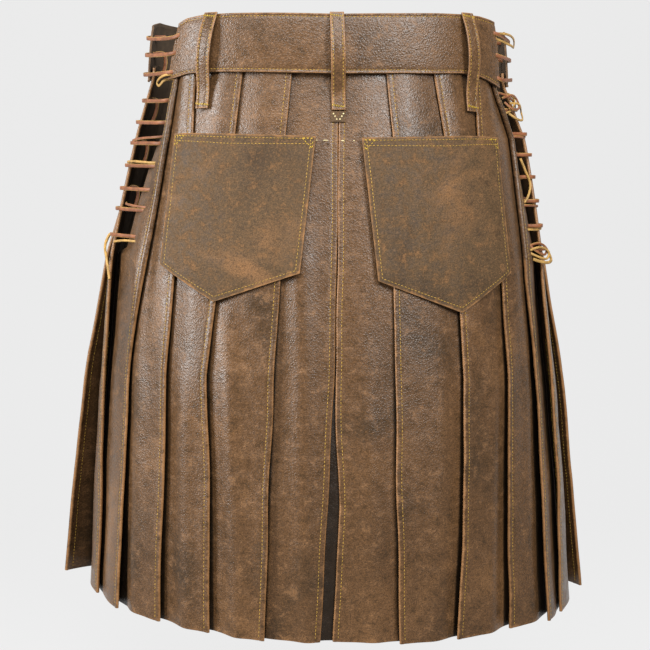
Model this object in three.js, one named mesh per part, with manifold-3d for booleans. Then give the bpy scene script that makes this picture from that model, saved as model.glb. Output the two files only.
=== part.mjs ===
// A knee-length leather kilt, seen from behind in the photograph, held open as if it were worn.
// Millimetres. +Z is up, the back of the kilt faces -Y, +X is the right of the photograph.
// The origin is the middle of the waist, inside the waistband.
import * as THREE from "three";
import Module from "manifold-3d";

const wasm = await Module();
wasm.setup();

// Main sizes
const BAND_TOP = 24.9;
const BAND_BOTTOM = -32.5;
const HEM = -584.5;
const LEATHER = 1.5;
const PIECE_GAP = 0.3;
const LAYER = LEATHER + PIECE_GAP;
const BAND_WALL = 2.6;
const BAND_OUT = 7;
const HEM_TILT = -0.022;
const HEM_TILT_FROM = -220;
const WAIST_TILT = 0.013;
const WAIST_TILT_FROM = -130;

// How far the top and bottom of the waist drop, by distance round from the centre back
const SAG_AT = [0, 60, 100, 130, 150, 165, 186, 226, 255, 320];
const SAG = {
  left: { top: [0, -1.2, -1.6, -1.2, 1.5, 8, 10, 2, -4, 0], low: [0, -1, -1.8, -2, -0.5, 3, 5.5, 4, 0, 0] },
  right: { top: [0, -1.5, -3, -3.5, -3, -1, 3, 6, 5, 0], low: [0, -1.2, -1.8, -3, -1, 3, 9.5, 6, 5, 0] },
};
const SAG_END = -110;

// The body that the leather hangs on: half width a, half depth b and how square each side is
const RINGS = [
  { z: 30, a: 178, b: 106, left: 2.1, right: 2.1 },
  { z: -30, a: 183, b: 109, left: 2.1, right: 2.1 },
  { z: -91, a: 197, b: 118, left: 2.08, right: 2.12 },
  { z: -220, a: 223, b: 140, left: 2.02, right: 2.15 },
  { z: -360, a: 236, b: 159, left: 1.95, right: 2.18 },
  { z: -460, a: 242, b: 171, left: 1.9, right: 2.2 },
  { z: HEM, a: 247, b: 183, left: 1.87, right: 2.2 },
];

// Heights at which every pleat is sized
const ROWS = [-18, -30, -58, -91, -135, -180, -222, -265, -315, -375, -440, -510, HEM];
const KEYS = [-30, -91, -235, -330, -450, HEM];

// One row per pleat: the fold's distance round the body from the centre back at each of KEYS,
// and how far the fold and the hidden end of the panel stand off the body
const PLEATS = {
  left: [
    { fold: [-3.2, -3.2, -2.4, -0.6, 4, 10], tip: [0, 0, 0, 0, 0, 0.5], end: [0, 0, 0, 0, 0, 0] },
    { fold: [42, 48, 52, 57, 61, 64], tip: [3.6, 4, 4.6, 6.5, 7.5, 8.5], end: [0, 0, 0, 0, 0, 0] },
    { fold: [91, 98, 115, 124, 121, 119], tip: [3.6, 4, 4.6, 7, 8, 9], end: [0, 0, 0, 0, 0, 0] },
    { fold: [142, 144, 162, 170, 173, 177], tip: [3.6, 4, 4.6, 7, 8, 9], end: [0, 0, 0, 0, 0, 1] },
    { fold: [164, 173, 198, 218, 228, 231], tip: [3.8, 6.2, 6.2, 6, 8, 14], end: [0, 0, 0, 0, 0, 0] },
    { fold: [228, 243, 255, 268, 277, 280], tip: [3.6, 6, 12, 10, 8, 11], end: [-0.3, -0.5, 3, 5, 6, 8] },
    { fold: [262, 275, 292, 309, 327, 344], tip: [3.6, 3.6, 15, 25, 32, 42], end: [0, 0, 0, 0, 0, 0] },
  ],
  right: [
    { fold: [5.4, 5.4, 4.6, 3.3, 8, 4], tip: [0, 0, 0, 0, 0, 0.5], end: [0, 0, 0, 0, 0, 0] },
    { fold: [51, 58, 60, 62, 64, 69], tip: [3.6, 4, 4.6, 6.5, 7.5, 8.5], end: [0, 0, 0, 0, 0, 0] },
    { fold: [100, 112, 126, 133, 133, 128], tip: [3.6, 4, 4.6, 7, 8, 9], end: [0, 0, 0, 0, 0, 0] },
    { fold: [149, 152, 181, 188, 190, 192], tip: [3.6, 4, 4.6, 7, 8, 9], end: [0, 0, 0, 1, 3, 6] },
    { fold: [178, 209, 222, 234, 240, 236], tip: [3.8, 6.2, 6.2, 9, 15, 24], end: [0, 0, 2, 6, 10, 14] },
    { fold: [226, 241, 252, 261, 268, 266], tip: [4, 14, 13, 18, 22, 26], end: [-0.3, -0.5, 8, 14, 20, 26] },
    { fold: [262, 275, 292, 309, 325, 341], tip: [3.6, 3.6, 18, 28, 36, 47], end: [0, 0, 0, 0, 0, 0] },
  ],
};
const UNDERLAP = [14, 17, 21, 22, 23, 24];
const FOLD_BEND = 0.9;
const RIDGE_BEND = 2.1;
const HIDDEN_CLEAR = 0.2;
const LAP_PAST = 1.2;
const SETTLE_SHARE = 0.35;

// The pleat that ends in the slit, the one that starts in it, and the last one before the apron
const SLIT_PLEAT = 4;
const FRONT_PLEAT = 5;
const LAST_PLEAT = 6;

// The plain front apron lies over the ends of the last pleats
const APRON_FROM_FOLD = [36, 40, 46, 48, 50, 52];
const APRON_LAP = 14;
const APRON_OUT = 3.6;
const APRON_COLUMNS = 13;

// The open lacing slit on each side, from the waist to the hip
const SLIT_END = -215;
const SLIT = {
  heights: [-30, -91, -105, -130, -160, -195, -235, -262],
  panel: [10, 12, 18, 26, 34, 42, 48, 52],
};
const RIDGE_AT = [-30, -58, SLIT_END, -350];
const SLIT_RETURN = 1.4;
const SLIT_LAP = 5;
const SLIT_EDGE = 2;
const EYELET_BACK = 9;
const EYELET_FRONT = 11;

// Colours and surfaces
const LEATHER_BROWN = { color: 0x70583f, roughness: 0.55 };
const POCKET_BROWN = { color: 0x6b5843, roughness: 0.72 };
const BAND_BROWN = { color: 0x745b43, roughness: 0.5 };
const LACE_RUST = { color: 0x965a37, roughness: 0.6 };

const kilt = new THREE.Group();
kilt.name = "kilt";

const shareOf = (value) => Math.min(1, Math.max(0, value));

// Straight-line reading of a short table
function read(xs, values, x) {
  const down = xs[0] > xs[xs.length - 1];
  for (let i = 0; i < xs.length - 1; i++) {
    const inside = down ? x >= xs[i + 1] : x <= xs[i + 1];
    if (inside || i === xs.length - 2) {
      const t = shareOf((x - xs[i]) / (xs[i + 1] - xs[i]));
      return values[i] + (values[i + 1] - values[i]) * t;
    }
  }
  return values[0];
}

const RING_STEPS = 240;
const ringStore = new Map();

// Half of one ring as points with their distance from the centre back
function halfRing(z, side) {
  const key = z.toFixed(3) + side;
  if (ringStore.has(key)) return ringStore.get(key);
  const zs = RINGS.map((r) => r.z);
  const a = read(zs, RINGS.map((r) => r.a), z);
  const b = read(zs, RINGS.map((r) => r.b), z);
  const power = read(zs, RINGS.map((r) => r[side]), z);
  const sign = side === "left" ? -1 : 1;
  const points = [];
  let along = 0;
  for (let i = 0; i <= RING_STEPS; i++) {
    const turn = (Math.PI * i) / RING_STEPS;
    const c = Math.cos(turn);
    const x = sign * a * Math.abs(Math.sin(turn)) ** (2 / power);
    const y = -b * Math.sign(c) * Math.abs(c) ** (2 / power);
    if (i) along += Math.hypot(x - points[i - 1].x, y - points[i - 1].y);
    points.push({ x, y, along });
  }
  ringStore.set(key, points);
  return points;
}

// A ring point a given distance round from the centre back; left of the seam is negative
function onRing(z, s) {
  const points = halfRing(z, s < 0 ? "left" : "right");
  const reach = Math.min(Math.abs(s), points[RING_STEPS].along);
  let low = 0;
  let high = RING_STEPS;
  while (high - low > 1) {
    const middle = (low + high) >> 1;
    if (points[middle].along <= reach) low = middle;
    else high = middle;
  }
  const p = points[low];
  const q = points[high];
  const t = (reach - p.along) / (q.along - p.along);
  return { x: p.x + (q.x - p.x) * t, y: p.y + (q.y - p.y) * t };
}

// How far the waist drops at a distance round and a height
function sagAt(s, z) {
  const { top, low } = SAG[s < 0 ? "left" : "right"];
  const share = shareOf((BAND_TOP - z) / (BAND_TOP - BAND_BOTTOM));
  const fade = shareOf((z - SAG_END) / (BAND_BOTTOM - SAG_END));
  const reach = Math.abs(s);
  return fade * (read(SAG_AT, top, reach) * (1 - share) + read(SAG_AT, low, reach) * share);
}

// From distance round s, stand-off n and height z to a point in space
const NORMAL_REACH = 4;
function place(s, n, z) {
  const p = onRing(z, s);
  const before = onRing(z, s - NORMAL_REACH);
  const after = onRing(z, s + NORMAL_REACH);
  const length = Math.hypot(after.x - before.x, after.y - before.y);
  const nx = (after.y - before.y) / length;
  const ny = -(after.x - before.x) / length;
  const x = p.x + nx * n;
  const y = p.y + ny * n;
  const low = shareOf((z - HEM_TILT_FROM) / (HEM - HEM_TILT_FROM));
  const high = shareOf((z - WAIST_TILT_FROM) / -WAIST_TILT_FROM);
  return new THREE.Vector3(x, y, z + x * (HEM_TILT * low + WAIST_TILT * high) - sagAt(s, z));
}

// The same, measured from the centre front; left of the middle is negative
function placeFront(q, n, z) {
  const side = q < 0 ? "left" : "right";
  const half = halfRing(z, side)[RING_STEPS].along;
  const s = (half - Math.abs(q)) * Math.sign(q || 1);
  if (Math.abs(q) >= NORMAL_REACH) return place(s, n, z);
  const middle = onRing(z, half);
  const edge = place((half - NORMAL_REACH) * Math.sign(q || 1), n, z);
  const t = Math.abs(q) / NORMAL_REACH;
  return new THREE.Vector3(edge.x * t, middle.y + n + (edge.y - middle.y - n) * t, z);
}

// A closed wall of leather from rows of centre lines given as [s, n] pairs
function wall(rows, heights, thick, put) {
  const columns = rows[0].length;
  const positions = [];
  rows.forEach((row, r) => {
    for (const face of [thick / 2, -thick / 2]) {
      row.forEach((p, j) => {
        const a = row[Math.max(0, j - 1)];
        const b = row[Math.min(columns - 1, j + 1)];
        const length = Math.hypot(b[0] - a[0], b[1] - a[1]);
        const s = p[0] - ((b[1] - a[1]) / length) * face;
        const n = p[1] + ((b[0] - a[0]) / length) * face;
        const v = put(s, n, heights[r][j] ?? heights[r]);
        positions.push(v.x, v.y, v.z);
      });
    }
  });
  const at = (r, face, j) => (r * 2 + face) * columns + j;
  const faces = [];
  const quad = (a, b, c, d) => faces.push(a, b, c, a, c, d);
  for (let r = 0; r < rows.length - 1; r++) {
    for (let j = 0; j < columns - 1; j++) {
      quad(at(r, 0, j), at(r + 1, 0, j), at(r + 1, 0, j + 1), at(r, 0, j + 1));
      quad(at(r, 1, j + 1), at(r + 1, 1, j + 1), at(r + 1, 1, j), at(r, 1, j));
    }
    quad(at(r, 1, 0), at(r + 1, 1, 0), at(r + 1, 0, 0), at(r, 0, 0));
    const e = columns - 1;
    quad(at(r, 0, e), at(r + 1, 0, e), at(r + 1, 1, e), at(r, 1, e));
  }
  const last = rows.length - 1;
  for (let j = 0; j < columns - 1; j++) {
    quad(at(0, 1, j), at(0, 0, j), at(0, 0, j + 1), at(0, 1, j + 1));
    quad(at(last, 0, j), at(last, 1, j), at(last, 1, j + 1), at(last, 0, j + 1));
  }
  const geometry = new THREE.BufferGeometry();
  geometry.setAttribute("position", new THREE.Float32BufferAttribute(positions, 3));
  geometry.setIndex(faces);
  if (volumeOf(geometry) < 0) turnOver(geometry);
  return geometry;
}

function volumeOf(geometry) {
  const p = geometry.getAttribute("position");
  const index = geometry.index.array;
  const [a, b, c] = [new THREE.Vector3(), new THREE.Vector3(), new THREE.Vector3()];
  let sum = 0;
  for (let i = 0; i < index.length; i += 3) {
    a.fromBufferAttribute(p, index[i]);
    b.fromBufferAttribute(p, index[i + 1]);
    c.fromBufferAttribute(p, index[i + 2]);
    sum += a.dot(b.cross(c)) / 6;
  }
  return sum;
}

function turnOver(geometry) {
  const index = geometry.index.array;
  for (let i = 0; i < index.length; i += 3) {
    const kept = index[i + 1];
    index[i + 1] = index[i + 2];
    index[i + 2] = kept;
  }
}

function toSolid(geometry) {
  const position = geometry.getAttribute("position").array;
  return new wasm.Manifold(
    new wasm.Mesh({
      numProp: 3,
      vertProperties: Float32Array.from(position),
      triVerts: Uint32Array.from(geometry.index.array),
    }),
  );
}

function fromSolid(solid) {
  const mesh = solid.getMesh();
  const geometry = new THREE.BufferGeometry();
  geometry.setAttribute("position", new THREE.Float32BufferAttribute(mesh.vertProperties, 3));
  geometry.setIndex(Array.from(mesh.triVerts));
  return geometry;
}

function add(name, geometry, look) {
  geometry.computeVertexNormals();
  const material = new THREE.MeshStandardMaterial({ ...look, metalness: 0 });
  material.name = name;
  const mesh = new THREE.Mesh(geometry, material);
  mesh.name = name;
  kilt.add(mesh);
}

const foldAt = (side, k, z) => read(KEYS, PLEATS[side][k].fold, z);
const tipAt = (side, k, z) => read(KEYS, PLEATS[side][k].tip, z);
const endAt = (side, k, z) => (k < 0 ? -2 * LAYER : read(KEYS, PLEATS[side][k].end, z));
const underlapAt = (z) => read(KEYS, UNDERLAP, z);
const apronAt = (side, z) => foldAt(side, LAST_PLEAT, z) + read(KEYS, APRON_FROM_FOLD, z);

// One knife pleat: hidden return, fold towards the centre back, panel, and the end under its neighbour
function pleatSection(side, k, z) {
  const fold = foldAt(side, k, z);
  const before = endAt(side, k - 1, z);
  const inSlit = z > SLIT_END;
  let under = underlapAt(z);
  const lean = Math.max(0, tipAt(side, k, z) - before - LAYER) / under;
  let bend = FOLD_BEND * Math.hypot(1, lean);
  if (k === SLIT_PLEAT) {
    bend = read(RIDGE_AT, [FOLD_BEND, RIDGE_BEND, RIDGE_BEND, bend], z);
    if (inSlit) under = 2 * bend + SLIT_RETURN;
  }
  const tip = Math.max(tipAt(side, k, z), before + LAYER + 2 * bend);
  let next;
  let past;
  if (k === SLIT_PLEAT - 1) {
    next = foldAt(side, SLIT_PLEAT, z);
    past = inSlit ? SLIT_LAP : underlapAt(z);
  } else if (k === SLIT_PLEAT) {
    const panel = fold + read(SLIT.heights, SLIT.panel, z);
    next = inSlit ? panel - SLIT_EDGE : foldAt(side, FRONT_PLEAT, z);
    past = inSlit ? SLIT_EDGE : underlapAt(z);
  } else if (k === LAST_PLEAT) {
    next = apronAt(side, z);
    past = APRON_LAP;
  } else {
    next = foldAt(side, k + 1, z);
    past = underlapAt(z);
  }
  const end = endAt(side, k, z);
  const clear = before + 2 * LAYER + HIDDEN_CLEAR;
  const slope = (s) => tip + ((end - tip) * (s - fold)) / (next - fold);
  const lap = Math.min(fold + under + LAP_PAST, next - 1);
  const lapN = Math.max(clear, slope(lap));
  const after = lap + (next - lap) * SETTLE_SHARE;
  const root = 0.5 ** 0.5;
  const line = [
    [fold + under, before + LAYER],
    [fold + bend, tip - 2 * bend],
    [fold + bend * (1 - root), tip - bend * (1 + root)],
    [fold, tip - bend],
    [fold + bend * (1 - root), tip - bend * (1 - root)],
    [fold + bend, tip],
    [(fold + bend + lap) / 2, Math.max(clear, (tip + lapN) / 2)],
    [lap, lapN],
    [after, lapN + ((end - lapN) * (after - lap)) / (next - lap)],
    [next, end],
    [next + past, end],
  ];
  const sign = side === "left" ? -1 : 1;
  return line.map(([s, n]) => [sign * s, n]);
}

// Left pieces run the other way round the body, so their offsets are taken in mirrored order
function sideWall(side, rows, heights, thick) {
  const ordered = side === "left" ? rows.map((row) => [...row].reverse()) : rows;
  return wall(ordered, heights, thick, place);
}

const solids = new Map();
for (const side of ["left", "right"]) {
  for (let k = 0; k <= LAST_PLEAT; k++) {
    const rows = ROWS.map((z) => pleatSection(side, k, z));
    const name = k === 0 ? "centre_panel_" + side : "pleat_" + side + "_" + k;
    solids.set(name, toSolid(sideWall(side, rows, ROWS, LEATHER)));
  }
}

// The panel behind the split centre seam
{
  const rows = ROWS.map((z) => {
    const out = Math.max(foldAt("left", 0, z), foldAt("right", 0, z));
    const half = underlapAt(z) + out - 1;
    return [-1, -0.5, 0, 0.5, 1].map((t) => [t * half, -2 * LAYER]);
  });
  solids.set("centre_under_panel", toSolid(wall(rows, ROWS, LEATHER, place)));
}

// The front apron
{
  const rows = ROWS.map((z) => {
    const left = halfRing(z, "left")[RING_STEPS].along - apronAt("left", z);
    const right = halfRing(z, "right")[RING_STEPS].along - apronAt("right", z);
    return Array.from({ length: APRON_COLUMNS + 1 }, (_, i) => [
      right - ((left + right) * i) / APRON_COLUMNS,
      APRON_OUT,
    ]);
  });
  solids.set("front_apron", toSolid(wall(rows, ROWS, LEATHER, placeFront)));
}

// The waistband is in two lengths, with a lacing slit between them on each side
const BAND_ROWS = [BAND_TOP, (BAND_TOP + BAND_BOTTOM) / 2, BAND_BOTTOM];
const BACK_BAND_END = { left: [160, 174], right: [174, 186] };
const FRONT_BAND_END = { left: [226, 227], right: [224, 225] };
const BAND_COLUMNS = 24;
const bandEnd = (table, side, z) => read([BAND_TOP, BAND_BOTTOM], table[side], z);
{
  const rows = BAND_ROWS.map((z) => {
    const left = -bandEnd(BACK_BAND_END, "left", z);
    const right = bandEnd(BACK_BAND_END, "right", z);
    return Array.from({ length: BAND_COLUMNS + 1 }, (_, i) => [
      left + ((right - left) * i) / BAND_COLUMNS,
      BAND_OUT,
    ]);
  });
  solids.set("waistband_back", toSolid(wall(rows, BAND_ROWS, BAND_WALL, place)));
  const front = BAND_ROWS.map((z) => {
    const left = halfRing(z, "left")[RING_STEPS].along - bandEnd(FRONT_BAND_END, "left", z);
    const right = halfRing(z, "right")[RING_STEPS].along - bandEnd(FRONT_BAND_END, "right", z);
    return Array.from({ length: BAND_COLUMNS + 1 }, (_, i) => [
      right - ((left + right) * i) / BAND_COLUMNS,
      BAND_OUT,
    ]);
  });
  solids.set("waistband_front", toSolid(wall(front, BAND_ROWS, BAND_WALL, placeFront)));
}

// Patch pockets: corners as distance round and height, laid over the pleats
const POCKET_OUT = 7.2;
const POCKETS = {
  left: { top: [18, -93, 162, -91], low: [32, -225, 176, -222], point: [117, -256] },
  right: { top: [26, -94, 175.5, -90], low: [43, -232, 190, -227], point: [129, -264] },
};
const POCKET_COLUMNS = 8;
const POCKET_ROWS = 7;
for (const side of ["left", "right"]) {
  const { top, low, point } = POCKETS[side];
  const sign = side === "left" ? -1 : 1;
  const share = (point[0] - low[0]) / (low[2] - low[0]);
  const rows = [];
  const heights = [];
  for (let r = 0; r <= POCKET_ROWS; r++) {
    const v = r / POCKET_ROWS;
    const row = [];
    const zs = [];
    for (let i = 0; i <= POCKET_COLUMNS; i++) {
      const half = POCKET_COLUMNS / 2;
      const u = i <= half ? (share * i) / half : share + ((1 - share) * (i - half)) / half;
      const topS = top[0] + (top[2] - top[0]) * u;
      const topZ = top[1] + (top[3] - top[1]) * u;
      const lowS = low[0] + (low[2] - low[0]) * u;
      const lowZ = read([0, share, 1], [low[1], point[1], low[3]], u);
      row.push([sign * (topS + (lowS - topS) * v), POCKET_OUT]);
      zs.push(topZ + (lowZ - topZ) * v);
    }
    rows.push(side === "left" ? row.reverse() : row);
    heights.push(side === "left" ? zs.reverse() : zs);
  }
  solids.set("pocket_" + side, toSolid(wall(rows, heights, LEATHER, place)));
}

// Belt loops: a strap sewn at the top of the band and below it, standing off between
const LOOP_WALL = 2;
const LOOP_ROWS = [
  { z: 26.3, out: 10 },
  { z: 19, out: 12.4 },
  { z: 9, out: 15.4 },
  { z: -3, out: 17 },
  { z: -15, out: 17 },
  { z: -27, out: 15 },
  { z: -38.5, out: 11 },
  { z: -49, out: 7.6 },
  { z: -58, out: 6.6 },
  { z: -67.5, out: 6.4 },
];
const LOOP_TOP = LOOP_ROWS[0].z;
const LOOP_LOW = LOOP_ROWS[LOOP_ROWS.length - 1].z;
const LOOP_WIDTH = 13.4;
const SINK_FROM = -30;
const SINK_TO = -48;
const LOOPS = [
  { name: "belt_loop_left", top: -120.5, low: -131.5, sink: 0 },
  { name: "belt_loop_centre", top: 0.6, low: 4, sink: 3.6 },
  { name: "belt_loop_right", top: 132, low: 142.5, sink: 0 },
];
for (const loop of LOOPS) {
  const rows = LOOP_ROWS.map(({ z, out }) => {
    const middle = read([LOOP_TOP, LOOP_LOW], [loop.top, loop.low], z);
    const n = out - loop.sink * shareOf((z - SINK_FROM) / (SINK_TO - SINK_FROM));
    return [-0.5, 0, 0.5].map((t) => [middle + t * LOOP_WIDTH, n]);
  });
  solids.set(loop.name, toSolid(wall(rows, LOOP_ROWS.map((r) => r.z), LOOP_WALL, place)));
}

// The small stitched tab under the centre loop
const TAB = { left: -4, right: 11, top: -68.6, bottom: -79, out: 1.9 };
{
  const heights = [TAB.top, TAB.bottom];
  const rows = heights.map(() =>
    [0, 0.5, 1].map((t) => [TAB.left + (TAB.right - TAB.left) * t, TAB.out]),
  );
  solids.set("loop_tab", toSolid(wall(rows, heights, LEATHER, place)));
}

// Laces: one thong a side, across the slit outside and down behind the edge
const LACE = 3.2;
const LACE_SIDES = 8;
const LACE_STEP = 13;
const TAIL_STEP = 7;
const SLOT_SIDES = 6;
const SLOT_WIDTH = 4.6;
const INSIDE = -5.5;
const BAND_HOLE = 7;
const PANEL_OUT = 1;
const RUNGS = {
  left: [12, -5, -25, -54, -78, -101, -125, -149, -170, -197],
  right: [14, -5, -25, -58, -85, -108, -131, -156, -182, -206],
};

function laceLine(side) {
  const sign = side === "left" ? -1 : 1;
  const points = [];
  const put = (s, n, z) => points.push(place(sign * s, n, z));
  RUNGS[side].forEach((z, i) => {
    const onBand = z > BAND_BOTTOM + 2;
    const back = onBand
      ? bandEnd(BACK_BAND_END, side, z) - BAND_HOLE
      : foldAt(side, SLIT_PLEAT, z) + EYELET_BACK;
    const front = foldAt(side, FRONT_PLEAT, z);
    const backOut = onBand ? BAND_OUT : PANEL_OUT;
    const frontOut = onBand ? BAND_OUT + 2 : tipAt(side, FRONT_PLEAT, z);
    const across = [
      [back - 1, INSIDE],
      [back + 1, backOut],
      [back + 8, backOut + 3.4],
      [front - 3, frontOut + 2.8],
      [front + 6, frontOut + 3.6],
      [front + EYELET_FRONT, frontOut + 0.5],
      [front + EYELET_FRONT + 1, INSIDE],
    ];
    if (i % 2 === 0) across.reverse();
    if (i === RUNGS[side].length - 1) across.length -= 2;
    for (const [s, n] of across) put(s, n, z);
  });
  return new THREE.CatmullRomCurve3(points, false, "centripetal");
}

// The loose end below the last rung: distance past the front edge, stand-off and drop
const TAILS = {
  left: [
    { past: 6.4, out: 3.64, drop: 0 },
    { past: 11, out: 4.4, drop: 1.5 },
    { past: 13, out: 6, drop: 7 },
    { past: 8, out: 7.5, drop: 14 },
    { past: 1, out: 6.5, drop: 25 },
    { past: -4, out: 4.5, drop: 46 },
  ],
  right: [
    { past: 6.4, out: 3.64, drop: 0 },
    { past: 11, out: 4.6, drop: 1.5 },
    { past: 13.5, out: 6.5, drop: 7 },
    { past: 7, out: 8, drop: 12.5 },
    { past: -4, out: 5, drop: 14 },
    { past: -12, out: -1, drop: 12 },
    { past: -17, out: -5, drop: 10 },
  ],
};

function tailLine(side) {
  const sign = side === "left" ? -1 : 1;
  const start = RUNGS[side][RUNGS[side].length - 1];
  const points = TAILS[side].map(({ past, out, drop }) => {
    const edge = foldAt(side, FRONT_PLEAT, start);
    return place(sign * (edge + past), tipAt(side, FRONT_PLEAT, start) + out, start - drop);
  });
  return new THREE.CatmullRomCurve3(points, false, "centripetal");
}

function cordSolid(curve, diameter, sides, step) {
  const outline = Array.from({ length: sides }, (_, i) => {
    const turn = (2 * Math.PI * i) / sides;
    return new THREE.Vector2((diameter / 2) * Math.cos(turn), (diameter / 2) * Math.sin(turn));
  });
  const raw = new THREE.ExtrudeGeometry(new THREE.Shape(outline), {
    steps: Math.ceil(curve.getLength() / step),
    bevelEnabled: false,
    extrudePath: curve,
  });
  const position = raw.getAttribute("position").array;
  const mesh = new wasm.Mesh({
    numProp: 3,
    vertProperties: Float32Array.from(position),
    triVerts: Uint32Array.from({ length: position.length / 3 }, (_, i) => i),
  });
  mesh.merge();
  return new wasm.Manifold(mesh);
}

// A slot is cut wherever a thong passes through the leather
const CUT_BY_LACE = ["3", "4", "5"];
const laces = new Map();
for (const side of ["left", "right"]) {
  const line = laceLine(side);
  laces.set("lace_" + side, cordSolid(line, LACE, LACE_SIDES, LACE_STEP));
  laces.set("lace_" + side + "_tail", cordSolid(tailLine(side), LACE, LACE_SIDES, TAIL_STEP));
  const cutter = cordSolid(line, SLOT_WIDTH, SLOT_SIDES, LACE_STEP);
  const names = CUT_BY_LACE.map((k) => "pleat_" + side + "_" + k);
  for (const name of [...names, "waistband_back", "waistband_front"]) {
    const cut = solids.get(name).subtract(cutter).decompose();
    solids.set(name, cut.reduce((a, b) => (a.volume() > b.volume() ? a : b)));
  }
}

const looks = {
  pocket: POCKET_BROWN,
  waistband: BAND_BROWN,
  belt: BAND_BROWN,
  loop: BAND_BROWN,
  lace: LACE_RUST,
};
for (const [name, solid] of [...solids, ...laces]) {
  add(name, fromSolid(solid), looks[name.split("_")[0]] ?? LEATHER_BROWN);
}

export default kilt;
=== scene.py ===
"""A brown leather kilt with knife pleats, laced side slits, patch pockets and belt loops.

Metres. +Z is up, the back of the kilt faces -Y and the origin is the middle of the waist.
Sizes inside the shape tables are millimetres, as a maker would mark them on the leather.
"""

import math
from bisect import bisect_right

import bmesh
import bpy
from mathutils import Matrix, Vector, noise


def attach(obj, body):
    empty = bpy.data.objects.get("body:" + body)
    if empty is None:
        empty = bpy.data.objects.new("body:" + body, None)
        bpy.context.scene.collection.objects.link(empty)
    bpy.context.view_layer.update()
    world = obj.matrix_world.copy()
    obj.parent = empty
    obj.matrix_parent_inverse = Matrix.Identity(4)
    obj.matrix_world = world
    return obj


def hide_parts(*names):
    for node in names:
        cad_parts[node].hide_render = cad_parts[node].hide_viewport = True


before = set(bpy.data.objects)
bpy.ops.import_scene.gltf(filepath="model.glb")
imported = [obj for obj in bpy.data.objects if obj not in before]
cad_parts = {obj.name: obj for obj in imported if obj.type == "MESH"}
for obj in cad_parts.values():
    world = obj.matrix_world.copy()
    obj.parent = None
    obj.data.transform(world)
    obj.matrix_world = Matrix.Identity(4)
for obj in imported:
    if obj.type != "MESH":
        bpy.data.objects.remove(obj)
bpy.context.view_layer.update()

bl_info = {
    "name": "Leather Kilt",
    "version": (1, 0, 0),
    "blender": (4, 5, 0),
    "location": "View3D > Sidebar > Kilt",
    "description": "Builds a pleated leather kilt with laced side slits",
    "category": "Add Mesh",
}

MM = 0.001
SIDES = ("left", "right")

# Heights and layers of the pattern
BAND_TOP = 24.9
BAND_BOTTOM = -32.5
HEM = -584.5
PLEAT_TOP = -18
LEATHER = 1.5
LAYER = 1.8
BAND_WALL = 2.6
BAND_OUT = 7
HEM_TILT = -0.022
HEM_TILT_FROM = -220
WAIST_TILT = 0.013
WAIST_TILT_FROM = -130

# How far the waist drops at its top and at the band's foot, by distance from the centre back
SAG_AT = (0, 60, 100, 130, 150, 165, 186, 226, 255, 320)
SAG_TOP = {
    "left": (0, -1.2, -1.6, -1.2, 1.5, 8, 10, 2, -4, 0),
    "right": (0, -1.5, -3, -3.5, -3, -1, 3, 6, 5, 0),
}
SAG_LOW = {
    "left": (0, -1, -1.8, -2, -0.5, 3, 5.5, 4, 0, 0),
    "right": (0, -1.2, -1.8, -3, -1, 3, 9.5, 6, 5, 0),
}
SAG_END = -110

# The body the leather hangs on: height, half width, half depth and how square each side is
RING_HEIGHTS = (30, -30, -91, -220, -360, -460, HEM)
RING_WIDTH = (178, 183, 197, 223, 236, 242, 247)
RING_DEPTH = (106, 109, 118, 140, 159, 171, 183)
RING_POWER = {
    "left": (2.1, 2.1, 2.08, 2.02, 1.95, 1.9, 1.87),
    "right": (2.1, 2.1, 2.12, 2.15, 2.18, 2.2, 2.2),
}
RING_STEPS = 160

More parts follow.
